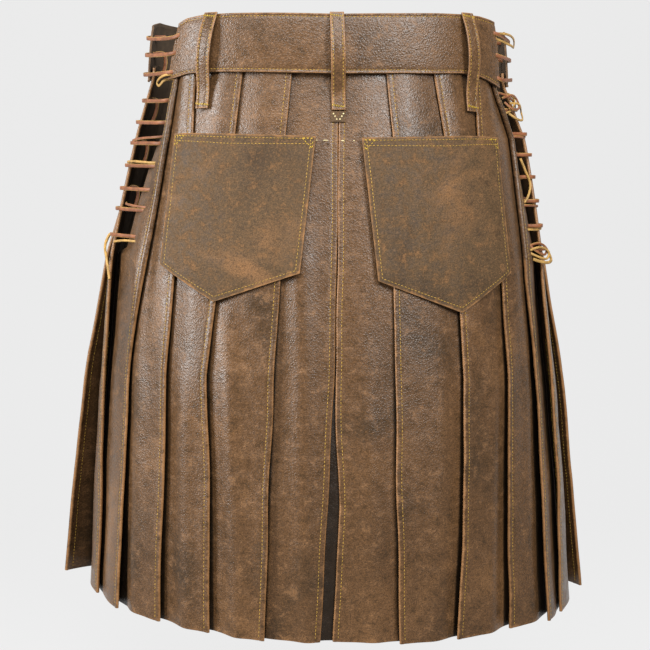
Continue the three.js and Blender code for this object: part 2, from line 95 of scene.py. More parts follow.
# Pleats: distance of each fold from the centre back, stand-off of the fold and of the hidden end
KEYS = (-30, -91, -235, -330, -450, HEM)
PLEATS = {
    "left": (
        {"fold": (-3.2, -3.2, -2.4, -0.6, 4, 10),
         "tip": (0, 0, 0, 0, 0, 0.5), "end": (0, 0, 0, 0, 0, 0)},
        {"fold": (42, 48, 52, 57, 61, 64),
         "tip": (3.6, 4, 4.6, 6.5, 7.5, 8.5), "end": (0, 0, 0, 0, 0, 0)},
        {"fold": (91, 98, 115, 124, 121, 119),
         "tip": (3.6, 4, 4.6, 7, 8, 9), "end": (0, 0, 0, 0, 0, 0)},
        {"fold": (142, 144, 162, 170, 173, 177),
         "tip": (3.6, 4, 4.6, 7, 8, 9), "end": (0, 0, 0, 0, 0, 1)},
        {"fold": (164, 173, 198, 218, 228, 231),
         "tip": (3.8, 6.2, 6.2, 6, 8, 14), "end": (0, 0, 0, 0, 1, 4)},
        {"fold": (228, 243, 255, 268, 277, 280),
         "tip": (3.6, 6, 12, 10, 8, 11), "end": (-0.3, -0.5, 3, 5, 6, 8)},
        {"fold": (262, 275, 292, 309, 327, 344),
         "tip": (3.6, 3.6, 15, 25, 32, 42), "end": (0, 0, 0, 0, 0, 0)},
    ),
    "right": (
        {"fold": (5.4, 5.4, 4.6, 3.3, 8, 4),
         "tip": (0, 0, 0, 0, 0, 0.5), "end": (0, 0, 0, 0, 0, 0)},
        {"fold": (51, 58, 60, 62, 64, 69),
         "tip": (3.6, 4, 4.6, 6.5, 7.5, 8.5), "end": (0, 0, 0, 0, 0, 0)},
        {"fold": (100, 112, 126, 133, 133, 128),
         "tip": (3.6, 4, 4.6, 7, 8, 9), "end": (0, 0, 0, 0, 0, 0)},
        {"fold": (149, 152, 181, 188, 190, 192),
         "tip": (3.6, 4, 4.6, 7, 8, 9), "end": (0, 0, 0, 1, 5, 12)},
        {"fold": (178, 209, 222, 234, 240, 236),
         "tip": (3.8, 6.2, 6.2, 9, 15, 24), "end": (0, 0, 2, 6, 12, 20)},
        {"fold": (226, 241, 252, 261, 268, 266),
         "tip": (4, 14, 13, 18, 22, 26), "end": (-0.3, -0.5, 8, 14, 20, 26)},
        {"fold": (262, 275, 292, 309, 325, 341),
         "tip": (3.6, 3.6, 18, 28, 36, 47), "end": (0, 0, 0, 0, 0, 0)},
    ),
}
UNDERLAP = (14, 17, 21, 22, 23, 24)
FOLD_BEND = 0.9
RIDGE_BEND = 2.1
SLIT_PLEAT = 4
FRONT_PLEAT = 5
LAST_PLEAT = 6

# The open lacing slit, from the waist to the hip
SLIT_END = -215
SLIT_HEIGHTS = (-30, -91, -105, -130, -160, -195, -235, -262)
SLIT_PANEL = (10, 12, 18, 26, 34, 42, 48, 52)

# The plain front
APRON_FROM_FOLD = (36, 40, 46, 48, 50, 52)
APRON_LAP = 14
APRON_OUT = 3.6
APRON_COLUMNS = 44
APRON_ROWS = 60

# Ends of the two waistband lengths, at the band's top and bottom
BACK_BAND_END = {"left": (160, 174), "right": (174, 186)}
FRONT_BAND_END = {"left": (226, 227), "right": (224, 225)}

# Pocket corners as distance from the centre back and height
POCKET_OUT = 7.2
POCKETS = {
    "left": {"top": (18, -93, 162, -91), "low": (32, -225, 176, -222), "point": (117, -256)},
    "right": {"top": (26, -94, 175.5, -90), "low": (43, -232, 190, -227), "point": (129, -264)},
}

# Belt loops: stand-off down the strap, and where each one hangs
LOOP_HEIGHTS = (26.3, 19, 9, -3, -15, -27, -38.5, -49, -58, -67.5)
LOOP_OUT = (9.6, 12, 15.4, 17, 17, 15, 11, 7.6, 6.6, 6.4)
LOOP_TOP = LOOP_HEIGHTS[0]
LOOP_LOW = LOOP_HEIGHTS[-1]
LOOP_WALL = 2
LOOP_WIDTH = 13.4
LOOPS = {
    "left": {"top": -120.5, "low": -131.5, "sink": 0},
    "centre": {"top": 0.6, "low": 4, "sink": 3.6},
    "right": {"top": 132, "low": 142.5, "sink": 0},
}
SINK_FROM = -30
SINK_TO = -48
TACK_HEIGHT = -97
TAB = {"left": -4, "right": 11, "top": -68.6, "bottom": -79, "out": 1.9}

# Laces: heights of the rungs on each side
LACE_WIDTH = 3.8
LACE_THICK = 1.8
LACE_STEP = 0.0015
STRAND_WIDTH = 2.4
STRAND_THICK = 1.4
INSIDE = -5.5
BAND_HOLE = 7
PANEL_OUT = 1
EYELET_BACK = 9
EYELET_FRONT = 11
RUNGS = {
    "left": (12, -5, -25, -54, -78, -101, -125, -149, -170, -197),
    "right": (14, -5, -25, -58, -85, -108, -131, -156, -182, -206),
}

# Second strands and knots: share of the way across the slit, lift and height
STRANDS = {
    "left": (
        (
            (0.0, -1, -27), (0.14, 4.5, -28), (0.3, 5, -34),
            (0.22, 5.4, -37), (0.12, 5, -32), (0.0, -1, -31),
        ),
        ((-0.05, -3, -93), (0.1, 3.2, -94), (0.5, 4.4, -96), (0.9, 3, -99), (1.02, -2, -100)),
        (
            (-0.05, -3, -121), (0.1, 3.2, -121.5), (0.5, 4.6, -120.5),
            (0.9, 3.2, -121.5), (1.02, -2, -122),
        ),
        (
            (-0.04, -2, -168), (0.08, 3, -167), (0.3, 4.6, -166),
            (0.55, 4.2, -164.5), (0.72, -1, -164),
        ),
        (
            (-0.04, -2, -203), (0.1, 3.2, -202), (0.4, 4.6, -201.5),
            (0.75, 3.6, -204), (0.9, -1, -206),
        ),
    ),
    "right": (
        ((0.0, 1, 13), (0.3, 6, 17), (0.8, 8.5, 15), (0.86, 8.5, 10), (0.45, 6, 8), (0.02, 1, 10)),
        ((-0.04, -2, -36), (0.15, 4, -40), (0.5, 5.5, -47), (0.85, 4, -56), (1.0, -2, -60)),
        ((1.0, -2, -38), (0.8, 4.5, -42), (0.5, 7.5, -49), (0.2, 4.5, -59), (-0.04, -2, -63)),
        (
            (0.1, 2, -44), (0.35, 7.5, -41), (0.7, 9, -46),
            (0.55, 10, -55), (0.2, 8, -57), (0.1, 3, -49),
        ),
        (
            (0.3, 5, -50), (0.6, 10.5, -52), (0.85, 9, -61),
            (0.6, 9, -69), (0.25, 8, -68), (0.15, 3, -62),
        ),
        (
            (-0.05, -3, -88.5), (0.1, 3.2, -88), (0.5, 4.6, -88.5),
            (0.9, 3.2, -88), (1.02, -2, -87.5),
        ),
        ((0.25, 2.5, -112), (0.3, 5, -124), (0.4, 6.5, -138), (0.3, 5, -150), (0.2, 1.5, -158)),
        (
            (-0.05, -3, -161), (0.1, 3.2, -160.5), (0.5, 4.6, -161),
            (0.9, 3.2, -162), (1.02, -2, -163),
        ),
        (
            (-0.05, -3, -186), (0.1, 3.2, -185.5), (0.5, 4.6, -186),
            (0.9, 3.2, -185), (1.02, -2, -184),
        ),
        (
            (0.05, 2, -203), (0.45, 6, -200), (0.85, 6.5, -206),
            (0.62, 8, -212), (0.3, 6, -208), (0.15, 3, -202),
        ),
        (
            (0.1, 3, -207), (0.4, 8.5, -204), (0.8, 9.5, -210),
            (0.6, 10, -216), (0.3, 8, -214), (0.1, 2, -209),
        ),
    ),
}

# Loose lace ends: distance past the front edge, stand-off and drop
TAIL_DIAMETER = 3.2
TAIL_THICK = 2.1
TAILS = {
    "left": ((6.4, 3.64, 0), (11, 4.4, 1.5), (13, 6, 7), (8, 7.5, 14), (1, 6.5, 25), (-4, 4.5, 46)),
    "right": (
        (6.4, 3.64, 0),
        (11, 4.6, 1.5),
        (13.5, 6.5, 7),
        (7, 8, 12.5),
        (-4, 5, 14),
        (-12, -1, 12),
        (-17, -5, 10),
    ),
}


def sign_of(side):
    """Distances round the kilt are negative left of the centre back."""
    return -1 if side == "left" else 1


def side_of(s):
    return "left" if s < 0 else "right"


def share_of(value):
    return min(1.0, max(0.0, value))


def bell(distance, width):
    """1 in the middle, falling softly to 0 on both sides."""
    return math.exp(-((distance / width) ** 2))


def read(xs, values, x):
    """Straight-line reading of a short table whose heights run down or up."""
    if xs[0] > xs[-1]:
        xs = [-a for a in xs]
        x = -x
    at = min(max(bisect_right(xs, x) - 1, 0), len(xs) - 2)
    share = share_of((x - xs[at]) / (xs[at + 1] - xs[at]))
    return values[at] + (values[at + 1] - values[at]) * share


ring_store = {}


def half_ring(step, side):
    """Half a ring at a whole-number height: points and their distance from the centre back."""
    key = (step, side)
    if key not in ring_store:
        width = read(RING_HEIGHTS, RING_WIDTH, step)
        depth = read(RING_HEIGHTS, RING_DEPTH, step)
        power = 2 / read(RING_HEIGHTS, RING_POWER[side], step)
        sign = sign_of(side)
        points = []
        along = [0.0]
        for i in range(RING_STEPS + 1):
            turn = math.pi * i / RING_STEPS
            c = math.cos(turn)
            x = sign * width * abs(math.sin(turn)) ** power
            y = -depth * math.copysign(abs(c) ** power, c)
            if points:
                along.append(along[-1] + math.dist(points[-1], (x, y)))
            points.append((x, y))
        ring_store[key] = (points, along)
    return ring_store[key]


def ring_point(step, s):
    """The point a given distance round one whole-number ring; left of the seam is negative."""
    points, along = half_ring(step, side_of(s))
    reach = min(abs(s), along[-1])
    at = min(bisect_right(along, reach) - 1, RING_STEPS - 1)
    share = (reach - along[at]) / (along[at + 1] - along[at])
    (ax, ay), (bx, by) = points[at], points[at + 1]
    return ax + (bx - ax) * share, ay + (by - ay) * share


def on_ring(z, s):
    step = math.floor(z)
    share = z - step
    ax, ay = ring_point(step, s)
    if share < 1e-6:
        return ax, ay
    bx, by = ring_point(step + 1, s)
    return ax + (bx - ax) * share, ay + (by - ay) * share


def half_length(z, side):
    """Distance from the centre back round to the centre front."""
    low = math.floor(z)
    share = z - low
    here, above = (half_ring(step, side)[1][-1] for step in (low, low + 1))
    return here * (1 - share) + above * share


def sag_at(s, z):
    """How far the waist drops at a distance round and a height."""
    side = side_of(s)
    share = share_of((BAND_TOP - z) / (BAND_TOP - BAND_BOTTOM))
    fade = share_of((z - SAG_END) / (BAND_BOTTOM - SAG_END))
    reach = abs(s)
    top = read(SAG_AT, SAG_TOP[side], reach)
    return fade * (top * (1 - share) + read(SAG_AT, SAG_LOW[side], reach) * share)


def place_mm(s, n, z):
    """Distance round s, stand-off n and height z to a point in millimetres."""
    x, y = on_ring(z, s)
    ax, ay = on_ring(z, s - 4)
    bx, by = on_ring(z, s + 4)
    length = math.hypot(bx - ax, by - ay)
    x += (by - ay) / length * n
    y -= (bx - ax) / length * n
    low = share_of((z - HEM_TILT_FROM) / (HEM - HEM_TILT_FROM))
    high = share_of((z - WAIST_TILT_FROM) / -WAIST_TILT_FROM)
    return Vector((x, y, z + x * (HEM_TILT * low + WAIST_TILT * high) - sag_at(s, z)))


def place(s, n, z):
    return place_mm(s, n, z) * MM


def place_front(q, n, z):
    """The same, measured from the centre front; left of the middle is negative."""
    side = side_of(q)
    half = half_length(z, side)
    sign = sign_of(side)
    if abs(q) >= 4:
        return place((half - abs(q)) * sign, n, z)
    middle = on_ring(z, half)[1]
    edge = place_mm((half - 4) * sign, n, z)
    share = abs(q) / 4
    return Vector((edge.x * share, middle + n + (edge.y - middle - n) * share, z)) * MM


def outward(s, z):
    """The direction that points away from the body."""
    return (place(s, 1, z) - place(s, 0, z)).normalized()


def away(put, q, z):
    """The direction off the leather where put() places its points."""
    return (put(q, 20, z) - put(q, 0, z)).normalized()


# Long soft folds: distance round at the top and at the hem, starting height, width and height
SWELLS = (
    (-34, -22, -130, 12, 4.2),
    (-106, -92, -250, 11, 3.6),
    (-206, -214, -150, 13, 4.0),
    (-152, -146, -300, 11, 3.0),
    (36, 44, -280, 12, 3.0),
    (112, 106, -300, 12, 3.0),
    (172, 168, -280, 11, 3.0),
    (222, 226, -240, 12, 2.6),
)
SWELL_RISE = 90

# Waves of the hanging leather: height, waves per millimetre round and down, and seed
WAVES = ((2.4, 0.011, 0.006, 4.7), (0.9, 0.045, 0.019, 9.2))
WAVES_FROM = -60
WAVES_GROW = 260
WOBBLE = 1.5
WOBBLE_FROM = -40
WOBBLE_GROW = 150


def hang(s, z):
    """The slow waves of hanging leather, shared by every layer so that they stay nested."""
    free = share_of((WAVES_FROM - z) / WAVES_GROW)
    waves = 0.0
    for high, across, down, seed in WAVES:
        waves += high * noise.noise(Vector((s * across, z * down, seed)))
    swell = 0.0
    for top_s, hem_s, from_z, wide, high in SWELLS:
        line = top_s + (hem_s - top_s) * share_of((from_z - z) / (from_z - HEM))
        swell += high * share_of((from_z - z) / SWELL_RISE) * bell(s - line, wide)
    return free * waves + swell


def wobble(side, k, z):
    """How far a fold's line wanders sideways."""
    seed = 11.3 * k + (50 if side == "left" else 0)
    free = share_of((WOBBLE_FROM - z) / WOBBLE_GROW)
    return free * WOBBLE * noise.noise(Vector((seed, z * 0.014, 0.5)))


def fold_at(side, k, z):
    return read(KEYS, PLEATS[side][k]["fold"], z)


def tip_at(side, k, z):
    return read(KEYS, PLEATS[side][k]["tip"], z)


def end_at(side, k, z):
    return -2 * LAYER if k < 0 else read(KEYS, PLEATS[side][k]["end"], z)


def underlap_at(z):
    return read(KEYS, UNDERLAP, z)


def apron_at(side, z):
    return fold_at(side, LAST_PLEAT, z) + read(KEYS, APRON_FROM_FOLD, z)


# Columns of a pleat's mesh: its hidden return, the bend, beside the fold, the panel and its end
RETURN_COLUMNS = 5
BEND_COLUMNS = 8
NEAR_FOLD = (1.2, 2.6, 3.7, 4.7, 5.7, 7.2)
PANEL_COLUMNS = 16
PAST_COLUMNS = (0.35, 0.7, 1.0)

# How a panel settles from its fold onto the layer below
HIDDEN_CLEAR = 0.2
LAP_PAST = 1.2
SETTLE_SHARE = 0.35
SETTLE_REACH = 3.0
PANEL_SWELL = 0.9

# The two edges of the lacing slit
RIDGE_AT = (-30, -58, SLIT_END, -350)
RIDGE_FADE = 12
SLIT_RETURN = 1.4
SLIT_LAP = 5
SLIT_EDGE = 2
SLIT_RUB = 0.35

# The panel behind the centre seam, coloured near black as painted shade
UNDER_COLUMNS = 12
UNDER_ROWS = 40
UNDER_PAINTED_SHADE = -0.85

# Rows of stitches and the leather that they draw in
STITCH_FROM_FOLD = 4.7
HEM_STITCH = HEM + 3
WAIST_STITCH = -32
PUCKER = 0.35
PUCKER_WIDTH = 1.1
SUNK_WIDTH = 1.2

# Wear and painted shade: width of a rubbed edge, of the painted shade beside a fold, and where a
# fold stands steep enough to fade its return's painted shade
RUB_WIDTH = 1.5
CREASE_PAINTED_SHADE = 3.0
STEEP_FROM = 7
STEEP_GROW = 8


def pleat_section(side, k, z):
    """One knife pleat across: hidden return, fold towards the centre back, panel and sewn end.

    Gives a list of (distance round, stand-off, distance from the fold, wear); a wear below zero is
    painted shade in the hidden return and beside the next fold.
    """
    fold = fold_at(side, k, z)
    before = end_at(side, k - 1, z)
    in_slit = z > SLIT_END
    under = underlap_at(z)
    lean = max(0, tip_at(side, k, z) - before - LAYER) / under
    bend = FOLD_BEND * math.hypot(1, lean)
    if k == SLIT_PLEAT:
        bend = read(RIDGE_AT, (FOLD_BEND, RIDGE_BEND, RIDGE_BEND, bend), z)
        open_slit = share_of((z - SLIT_END) / RIDGE_FADE)
        under += (2 * bend + SLIT_RETURN - under) * open_slit
    tip = max(tip_at(side, k, z), before + LAYER + 2 * bend)
    past = underlap_at(z)
    if k == SLIT_PLEAT - 1:
        next_fold = fold_at(side, SLIT_PLEAT, z)
        past = SLIT_LAP if in_slit else past
    elif k == SLIT_PLEAT:
        panel = fold + read(SLIT_HEIGHTS, SLIT_PANEL, z)
        next_fold = panel - SLIT_EDGE if in_slit else fold_at(side, FRONT_PLEAT, z)
        past = SLIT_EDGE if in_slit else past
    elif k == LAST_PLEAT:
        next_fold = apron_at(side, z)
        past = APRON_LAP
    else:
        next_fold = fold_at(side, k + 1, z)
    end = end_at(side, k, z)
    clear = before + 2 * LAYER + HIDDEN_CLEAR
    width = next_fold - fold
    lap = min(fold + under + LAP_PAST, next_fold - 1)
    lap_out = max(clear, tip + (end - tip) * (lap - fold) / width)
    after = lap + (next_fold - lap) * SETTLE_SHARE
    after_out = lap_out + (end - lap_out) * (after - lap) / (next_fold - lap)
    middle = (fold + bend + lap) / 2
    marks = (fold + bend, middle, lap, after, next_fold, next_fold + past)
    heights = (tip, max(clear, (tip + lap_out) / 2), lap_out, after_out, end, end)

    def soft(s):
        reach = min(SETTLE_REACH, width * 0.1)
        return sum(read(marks, heights, s + reach * j / 2) for j in (-2, -1, 0, 1, 2)) / 5

    points = []
    for i in range(RETURN_COLUMNS):
        share = i / RETURN_COLUMNS
        s = fold + under + (bend - under) * share
        n = before + LAYER + (tip - 2 * bend - before - LAYER) * share
        points.append((s, n, fold - s))
    for i in range(BEND_COLUMNS + 1):
        turn = math.pi * i / BEND_COLUMNS
        arc = bend * (turn - math.pi / 2)
        s = fold + bend - bend * math.sin(turn)
        points.append((s, tip - bend - bend * math.cos(turn), arc))
    squeeze = min(1, width / 16)
    steps = [fold + bend + d * squeeze for d in NEAR_FOLD]
    first = steps[-1]
    for i in range(1, PANEL_COLUMNS + 1):
        steps.append(first + (next_fold - first) * (i / PANEL_COLUMNS))
    steps += [next_fold + past * share for share in PAST_COLUMNS]
    for s in steps:
        from_fold = s - fold
        blend = min(1, (from_fold - bend) / 3)
        n = tip + (soft(s) - tip) * blend
        share = share_of(from_fold / width)
        n += PANEL_SWELL * math.sin(math.pi * share) ** 2 * min(1, width / 50)
        n -= PUCKER * bell(from_fold - STITCH_FROM_FOLD, PUCKER_WIDTH) * squeeze
        points.append((s, n, from_fold))
    shift = wobble(side, k, z)
    sign = sign_of(side)
    shaped = []
    rub = SLIT_RUB if k == SLIT_PLEAT and in_slit else 1.0
    # How hidden the return is, which sets how much painted shade it gets
    hidden = 1 - share_of((tip - before - LAYER - STEEP_FROM) / STEEP_GROW)
    for s, n, d in points:
        fade = share_of(1 - d / width)
        here = sign * (s + shift * fade)
        wear_and_shade = rub * bell(d, RUB_WIDTH)
        # The hidden return gets painted shade, darker deeper in and where the fold lies close
        if d < -FOLD_BEND:
            deep = 0.25 + share_of(-d / under * 2.4 - 1.2)
            wear_and_shade -= share_of((-d - FOLD_BEND) / 2) * max(hidden, deep)
        # Painted shade on the panel where it runs in under the next fold
        if d > width - CREASE_PAINTED_SHADE and not (k == SLIT_PLEAT and in_slit):
            wear_and_shade = -share_of((d - width + CREASE_PAINTED_SHADE) / CREASE_PAINTED_SHADE)
        shaped.append((here, n + hang(here, z), d, wear_and_shade))
    return shaped


# Building blocks


def finish_piece(name, bm, materials, wall=None, bevel=0.35):
    """A bmesh becomes a finished piece: smooth, walled, softly edged and riding on the kilt."""
    mesh = bpy.data.meshes.new(name)
    for face in bm.faces:
        face.smooth = True
    bm.to_mesh(mesh)
    bm.free()
    piece = bpy.data.objects.new(name, mesh)
    bpy.context.scene.collection.objects.link(piece)
    for material in materials:
        mesh.materials.append(material)
    if wall:
        thick = piece.modifiers.new("leather thickness", "SOLIDIFY")
        thick.thickness = wall * MM
        thick.offset = 0
        thick.use_even_offset = False
        if len(materials) > 2:
            thick.material_offset = 1
            thick.material_offset_rim = 2
        soft = piece.modifiers.new("soft cut edge", "BEVEL")
        soft.width = bevel * MM
        soft.segments = 2
        soft.limit_method = "ANGLE"
        soft.angle_limit = math.radians(60)
        soft.harden_normals = True
    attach(piece, "root")
    return piece


def leather_piece(name, bm, kind, wall=LEATHER, bevel=0.35):
    """A walled piece of leather that stands for the solid of its name."""
    piece = finish_piece("leather_" + name, bm, leather_set(kind), wall, bevel)
    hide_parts(name)
    return piece


def state_cut(section_at, heights):
    """Works out each section at the given heights; nothing is kept or said of them."""
    for z in heights:
        row = section_at(z)


def shaped_grid(columns, rows, where):
    """A grid whose points are set by where(column, row), giving place, pattern place and wear; a
    wear below zero is painted shade.
    """
    bm = bmesh.new()
    bmesh.ops.create_grid(bm, x_segments=columns, y_segments=rows, size=1)
    if len(bm.verts) != (columns + 1) * (rows + 1):
        raise RuntimeError("the grid doesn't have the number of points that was asked for")
    uv = bm.loops.layers.uv.new("leather_uv")
    wear_and_shade = bm.verts.layers.float.new("wear_and_shade")
    pattern = {}
    for vert in bm.verts:
        i = round((vert.co.x + 1) / 2 * columns)
        j = round((vert.co.y + 1) / 2 * rows)
        point, flat, worn = where(i, j)
        vert.co = point
        vert[wear_and_shade] = worn
        pattern[vert] = flat
    for face in bm.faces:
        for loop in face.loops:
            loop[uv].uv = pattern[loop.vert]
    return bm


def spread(low, high, count):
    return [low + (high - low) * i / count for i in range(count + 1)]


# Which stretch of the hide each piece is cut from; the pleats take numbers below 20
HIDE_NUMBERS = {
    "centre_under_panel": 30,
    "front_apron": 40,
    "waistband_back": 50,
    "waistband_front": 54,
    "pocket_left": 60,
    "pocket_right": 64,
    "belt_loop_left": 70,
    "belt_loop_centre": 71,
    "belt_loop_right": 72,
    "loop_tab": 80,
}


def hide_place(number, s, z):
    """Where a point lies in the hide, of which every piece has a stretch of its own."""
    return (s * MM + 0.37 * number, z * MM + 0.23 * number)


def catmull(points, step):
    """A smooth line through points, sampled about every step."""
    ends = [points[0] * 2 - points[1], *points, points[-1] * 2 - points[-2]]
    line = []
    for a, b, c, d in zip(ends, ends[1:], ends[2:], ends[3:]):
        t1 = max((b - a).length, 1e-6) ** 0.5
        t2 = t1 + max((c - b).length, 1e-6) ** 0.5
        t3 = t2 + max((d - c).length, 1e-6) ** 0.5
        count = max(2, math.ceil((c - b).length / step))
        for i in range(count):
            t = t1 + (t2 - t1) * i / count
            p = a.lerp(b, t / t1)
            q = b.lerp(c, (t - t1) / (t2 - t1))
            r = c.lerp(d, (t - t2) / (t3 - t2))
            u = p.lerp(q, t / t2)
            v = q.lerp(r, (t - t1) / (t3 - t1))
            line.append(u.lerp(v, (t - t1) / (t2 - t1)))
    line.append(points[-1].copy())
    return line


# Nodes and materials


def add_node(tree, kind, settings=None, **inputs):
    """A node with its settings, and its inputs given as values or as sockets to link."""
    made = tree.nodes.new(kind)
    for key, value in (settings or {}).items():
        setattr(made, key, value)
    for key, value in inputs.items():
        join(tree, made.inputs[key.replace("_", " ")], value)
    return made


def join(tree, socket, value):
    if isinstance(value, bpy.types.NodeSocket):
        tree.links.new(value, socket)
    else:
        socket.default_value = value


def blend_colours(tree, share, a, b, how="MIX"):
    mix = tree.nodes.new("ShaderNodeMix")
    mix.data_type = "RGBA"
    mix.blend_type = how
    join(tree, mix.inputs[0], share)
    join(tree, mix.inputs[6], a)
    join(tree, mix.inputs[7], b)
    return mix.outputs[2]


def work_out(tree, how, a, b, clamp):
    made = tree.nodes.new("ShaderNodeMath")
    made.operation = how
    made.use_clamp = clamp
    join(tree, made.inputs[0], a)
    join(tree, made.inputs[1], b)
    return made.outputs[0]


def times(tree, a, b, clamp=False):
    return work_out(tree, "MULTIPLY", a, b, clamp)


def plus(tree, a, b):
    return work_out(tree, "ADD", a, b, False)


def grey(tree, value):
    """The same value in all three channels of a colour."""
    return add_node(tree, "ShaderNodeCombineColor", Red=value, Green=value, Blue=value).outputs[0]


def between(tree, value, low, high, new_low=0.0, new_high=1.0):
    """A value stretched from low..high to new_low..new_high, softly."""
    made = add_node(
        tree,
        "ShaderNodeMapRange",
        {"interpolation_type": "SMOOTHSTEP"},
        Value=value,
        From_Min=low,
        From_Max=high,
        To_Min=new_low,
        To_Max=new_high,
    )
    return made.outputs[0]


def noise_value(tree, vector, scale, detail=3.0, rough=0.5, warp=0.0):
    made = add_node(
        tree,
        "ShaderNodeTexNoise",
        Vector=vector,
        Scale=scale,
        Detail=detail,
        Roughness=rough,
        Distortion=warp,
    )
    return made.outputs["Fac"]


def start_group(name, inputs, outputs):
    """An empty shader node group with its sockets."""
    if name in bpy.data.node_groups:
        return bpy.data.node_groups[name], None, None
    tree = bpy.data.node_groups.new(name, "ShaderNodeTree")
    for label, kind, value in inputs:
        socket = tree.interface.new_socket(label, in_out="INPUT", socket_type=kind)
        if value is not None:
            socket.default_value = value
    for label, kind in outputs:
        tree.interface.new_socket(label, in_out="OUTPUT", socket_type=kind)
    entry = tree.nodes.new("NodeGroupInput")
    leave = tree.nodes.new("NodeGroupOutput")
    return tree, entry.outputs, leave.inputs


def hide_colour_group():
    """Dyed and rubbed hide: soft cloudy patches, darker veins, pale scuffs, worn folds, and painted
    shade near black where the wear is below zero.
    """
    tree, entry, leave = start_group(
        "hide colour",
        [
            ("Vector", "NodeSocketVector", None),
            ("Leather", "NodeSocketColor", (0.16, 0.09, 0.05, 1)),
            ("Dark", "NodeSocketColor", (0.08, 0.05, 0.03, 1)),
            ("Rubbed", "NodeSocketColor", (0.3, 0.2, 0.12, 1)),
            ("Fold", "NodeSocketColor", (0.32, 0.17, 0.08, 1)),
            ("Cloudiness", "NodeSocketFloat", 1.0),
            ("Wear", "NodeSocketFloat", 0.0),
        ],
        [("Colour", "NodeSocketColor"), ("Dryness", "NodeSocketFloat")],
    )
    if entry is None:
        return tree
    vector = entry["Vector"]
    clouds = noise_value(tree, vector, 9, 4, 0.6, 0.6)
    patches = noise_value(tree, vector, 85, 5, 0.7, 0.3)
    specks = noise_value(tree, vector, 360, 3, 0.75)
    dark = times(tree, between(tree, clouds, 0.5, 0.28), entry["Cloudiness"], True)
    rubbed = times(tree, between(tree, clouds, 0.52, 0.75), entry["Cloudiness"], True)
    scuffs = times(tree, between(tree, patches, 0.52, 0.68), 0.7)
    smudges = times(tree, between(tree, patches, 0.48, 0.32), 0.6)
    colour = blend_colours(tree, dark, entry["Leather"], entry["Dark"])
    colour = blend_colours(tree, rubbed, colour, entry["Rubbed"])
    colour = blend_colours(tree, scuffs, colour, entry["Rubbed"])
    colour = blend_colours(tree, smudges, colour, entry["Dark"])
    warp = add_node(tree, "ShaderNodeTexNoise", Vector=vector, Scale=30.0, Detail=4.0)
    turned = {"operation": "SCALE"}
    small = add_node(tree, "ShaderNodeVectorMath", turned, Vector=warp.outputs["Color"], Scale=0.05)
    shift = add_node(tree, "ShaderNodeVectorMath", {"operation": "ADD"})
    tree.links.new(vector, shift.inputs[0])
    tree.links.new(small.outputs[0], shift.inputs[1])
    edges = {"feature": "DISTANCE_TO_EDGE"}
    veins = add_node(tree, "ShaderNodeTexVoronoi", edges, Vector=shift.outputs[0], Scale=26.0)
    thin = between(tree, veins.outputs["Distance"], 0.05, 0.0, 0.0, 0.35)
    broken = times(tree, thin, between(tree, patches, 0.45, 0.6))
    colour = blend_colours(tree, broken, colour, entry["Dark"])
    golden = times(tree, between(tree, specks, 0.5, 0.72), 0.5)
    colour = blend_colours(tree, golden, colour, entry["Rubbed"])
    pores = times(tree, between(tree, specks, 0.5, 0.3), 0.6)
    colour = blend_colours(tree, pores, colour, entry["Dark"])
    fleck = between(tree, noise_value(tree, vector, 800, 2, 0.6), 0.3, 0.7, 0.7, 1.34)
    colour = blend_colours(tree, 1.0, colour, grey(tree, fleck), "MULTIPLY")
    ragged = plus(tree, entry["Wear"], between(tree, patches, 0.3, 0.7, -0.22, 0.22))
    worn = between(tree, ragged, 0.3, 1.0, 0.0, 0.7)
    colour = blend_colours(tree, worn, colour, entry["Fold"])
    # Painted shade: a wear below zero darkens the leather towards near black
    deep = between(tree, entry["Wear"], 0.0, -1.0, 0.0, 0.93)
    colour = blend_colours(tree, deep, colour, (0.006, 0.004, 0.002, 1))
    tree.links.new(colour, leave["Colour"])
    dryness = plus(tree, between(tree, patches, 0.3, 0.7), times(tree, worn, 0.3))
    tree.links.new(dryness, leave["Dryness"])
    return tree


def hide_grain_group():
    """Pebbled grain, pores and slow creases as one height."""
    tree, entry, leave = start_group(
        "hide grain",
        [
            ("Vector", "NodeSocketVector", None),
            ("Pebble Scale", "NodeSocketFloat", 560.0),
            ("Pebbles", "NodeSocketFloat", 1.0),
            ("Creases", "NodeSocketFloat", 1.0),
        ],
        [("Height", "NodeSocketFloat")],
    )
    if entry is None:
        return tree
    vector = entry["Vector"]
    scale = entry["Pebble Scale"]
    pebbles = add_node(tree, "ShaderNodeTexVoronoi", {"feature": "F1"}, Vector=vector, Scale=scale)
    cells = between(tree, pebbles.outputs["Distance"], 0.75, 0.1)
    fine = noise_value(tree, vector, 1500, 2, 0.6)
    slow = noise_value(tree, vector, 55, 4, 0.55, 0.8)
    grain = plus(tree, cells, times(tree, fine, 0.5))
    grain = times(tree, grain, entry["Pebbles"])
    crease = times(tree, slow, times(tree, entry["Creases"], 6.0))
    tree.links.new(plus(tree, grain, crease), leave["Height"])
    return tree


def start_material(name):
    material = bpy.data.materials.new(name)
    material.use_nodes = True
    tree = material.node_tree
    tree.nodes.clear()
    output = tree.nodes.new("ShaderNodeOutputMaterial")
    shader = tree.nodes.new("ShaderNodeBsdfPrincipled")
    tree.links.new(shader.outputs[0], output.inputs[0])
    return material, tree, shader


def use_group(tree, group, **inputs):
    made = tree.nodes.new("ShaderNodeGroup")
    made.node_tree = group
    for key, value in inputs.items():
        join(tree, made.inputs[key.replace("_", " ")], value)
    return made


def scaled(colour, amount):
    return (*[min(1.0, c * amount) for c in colour[:3]], 1.0)


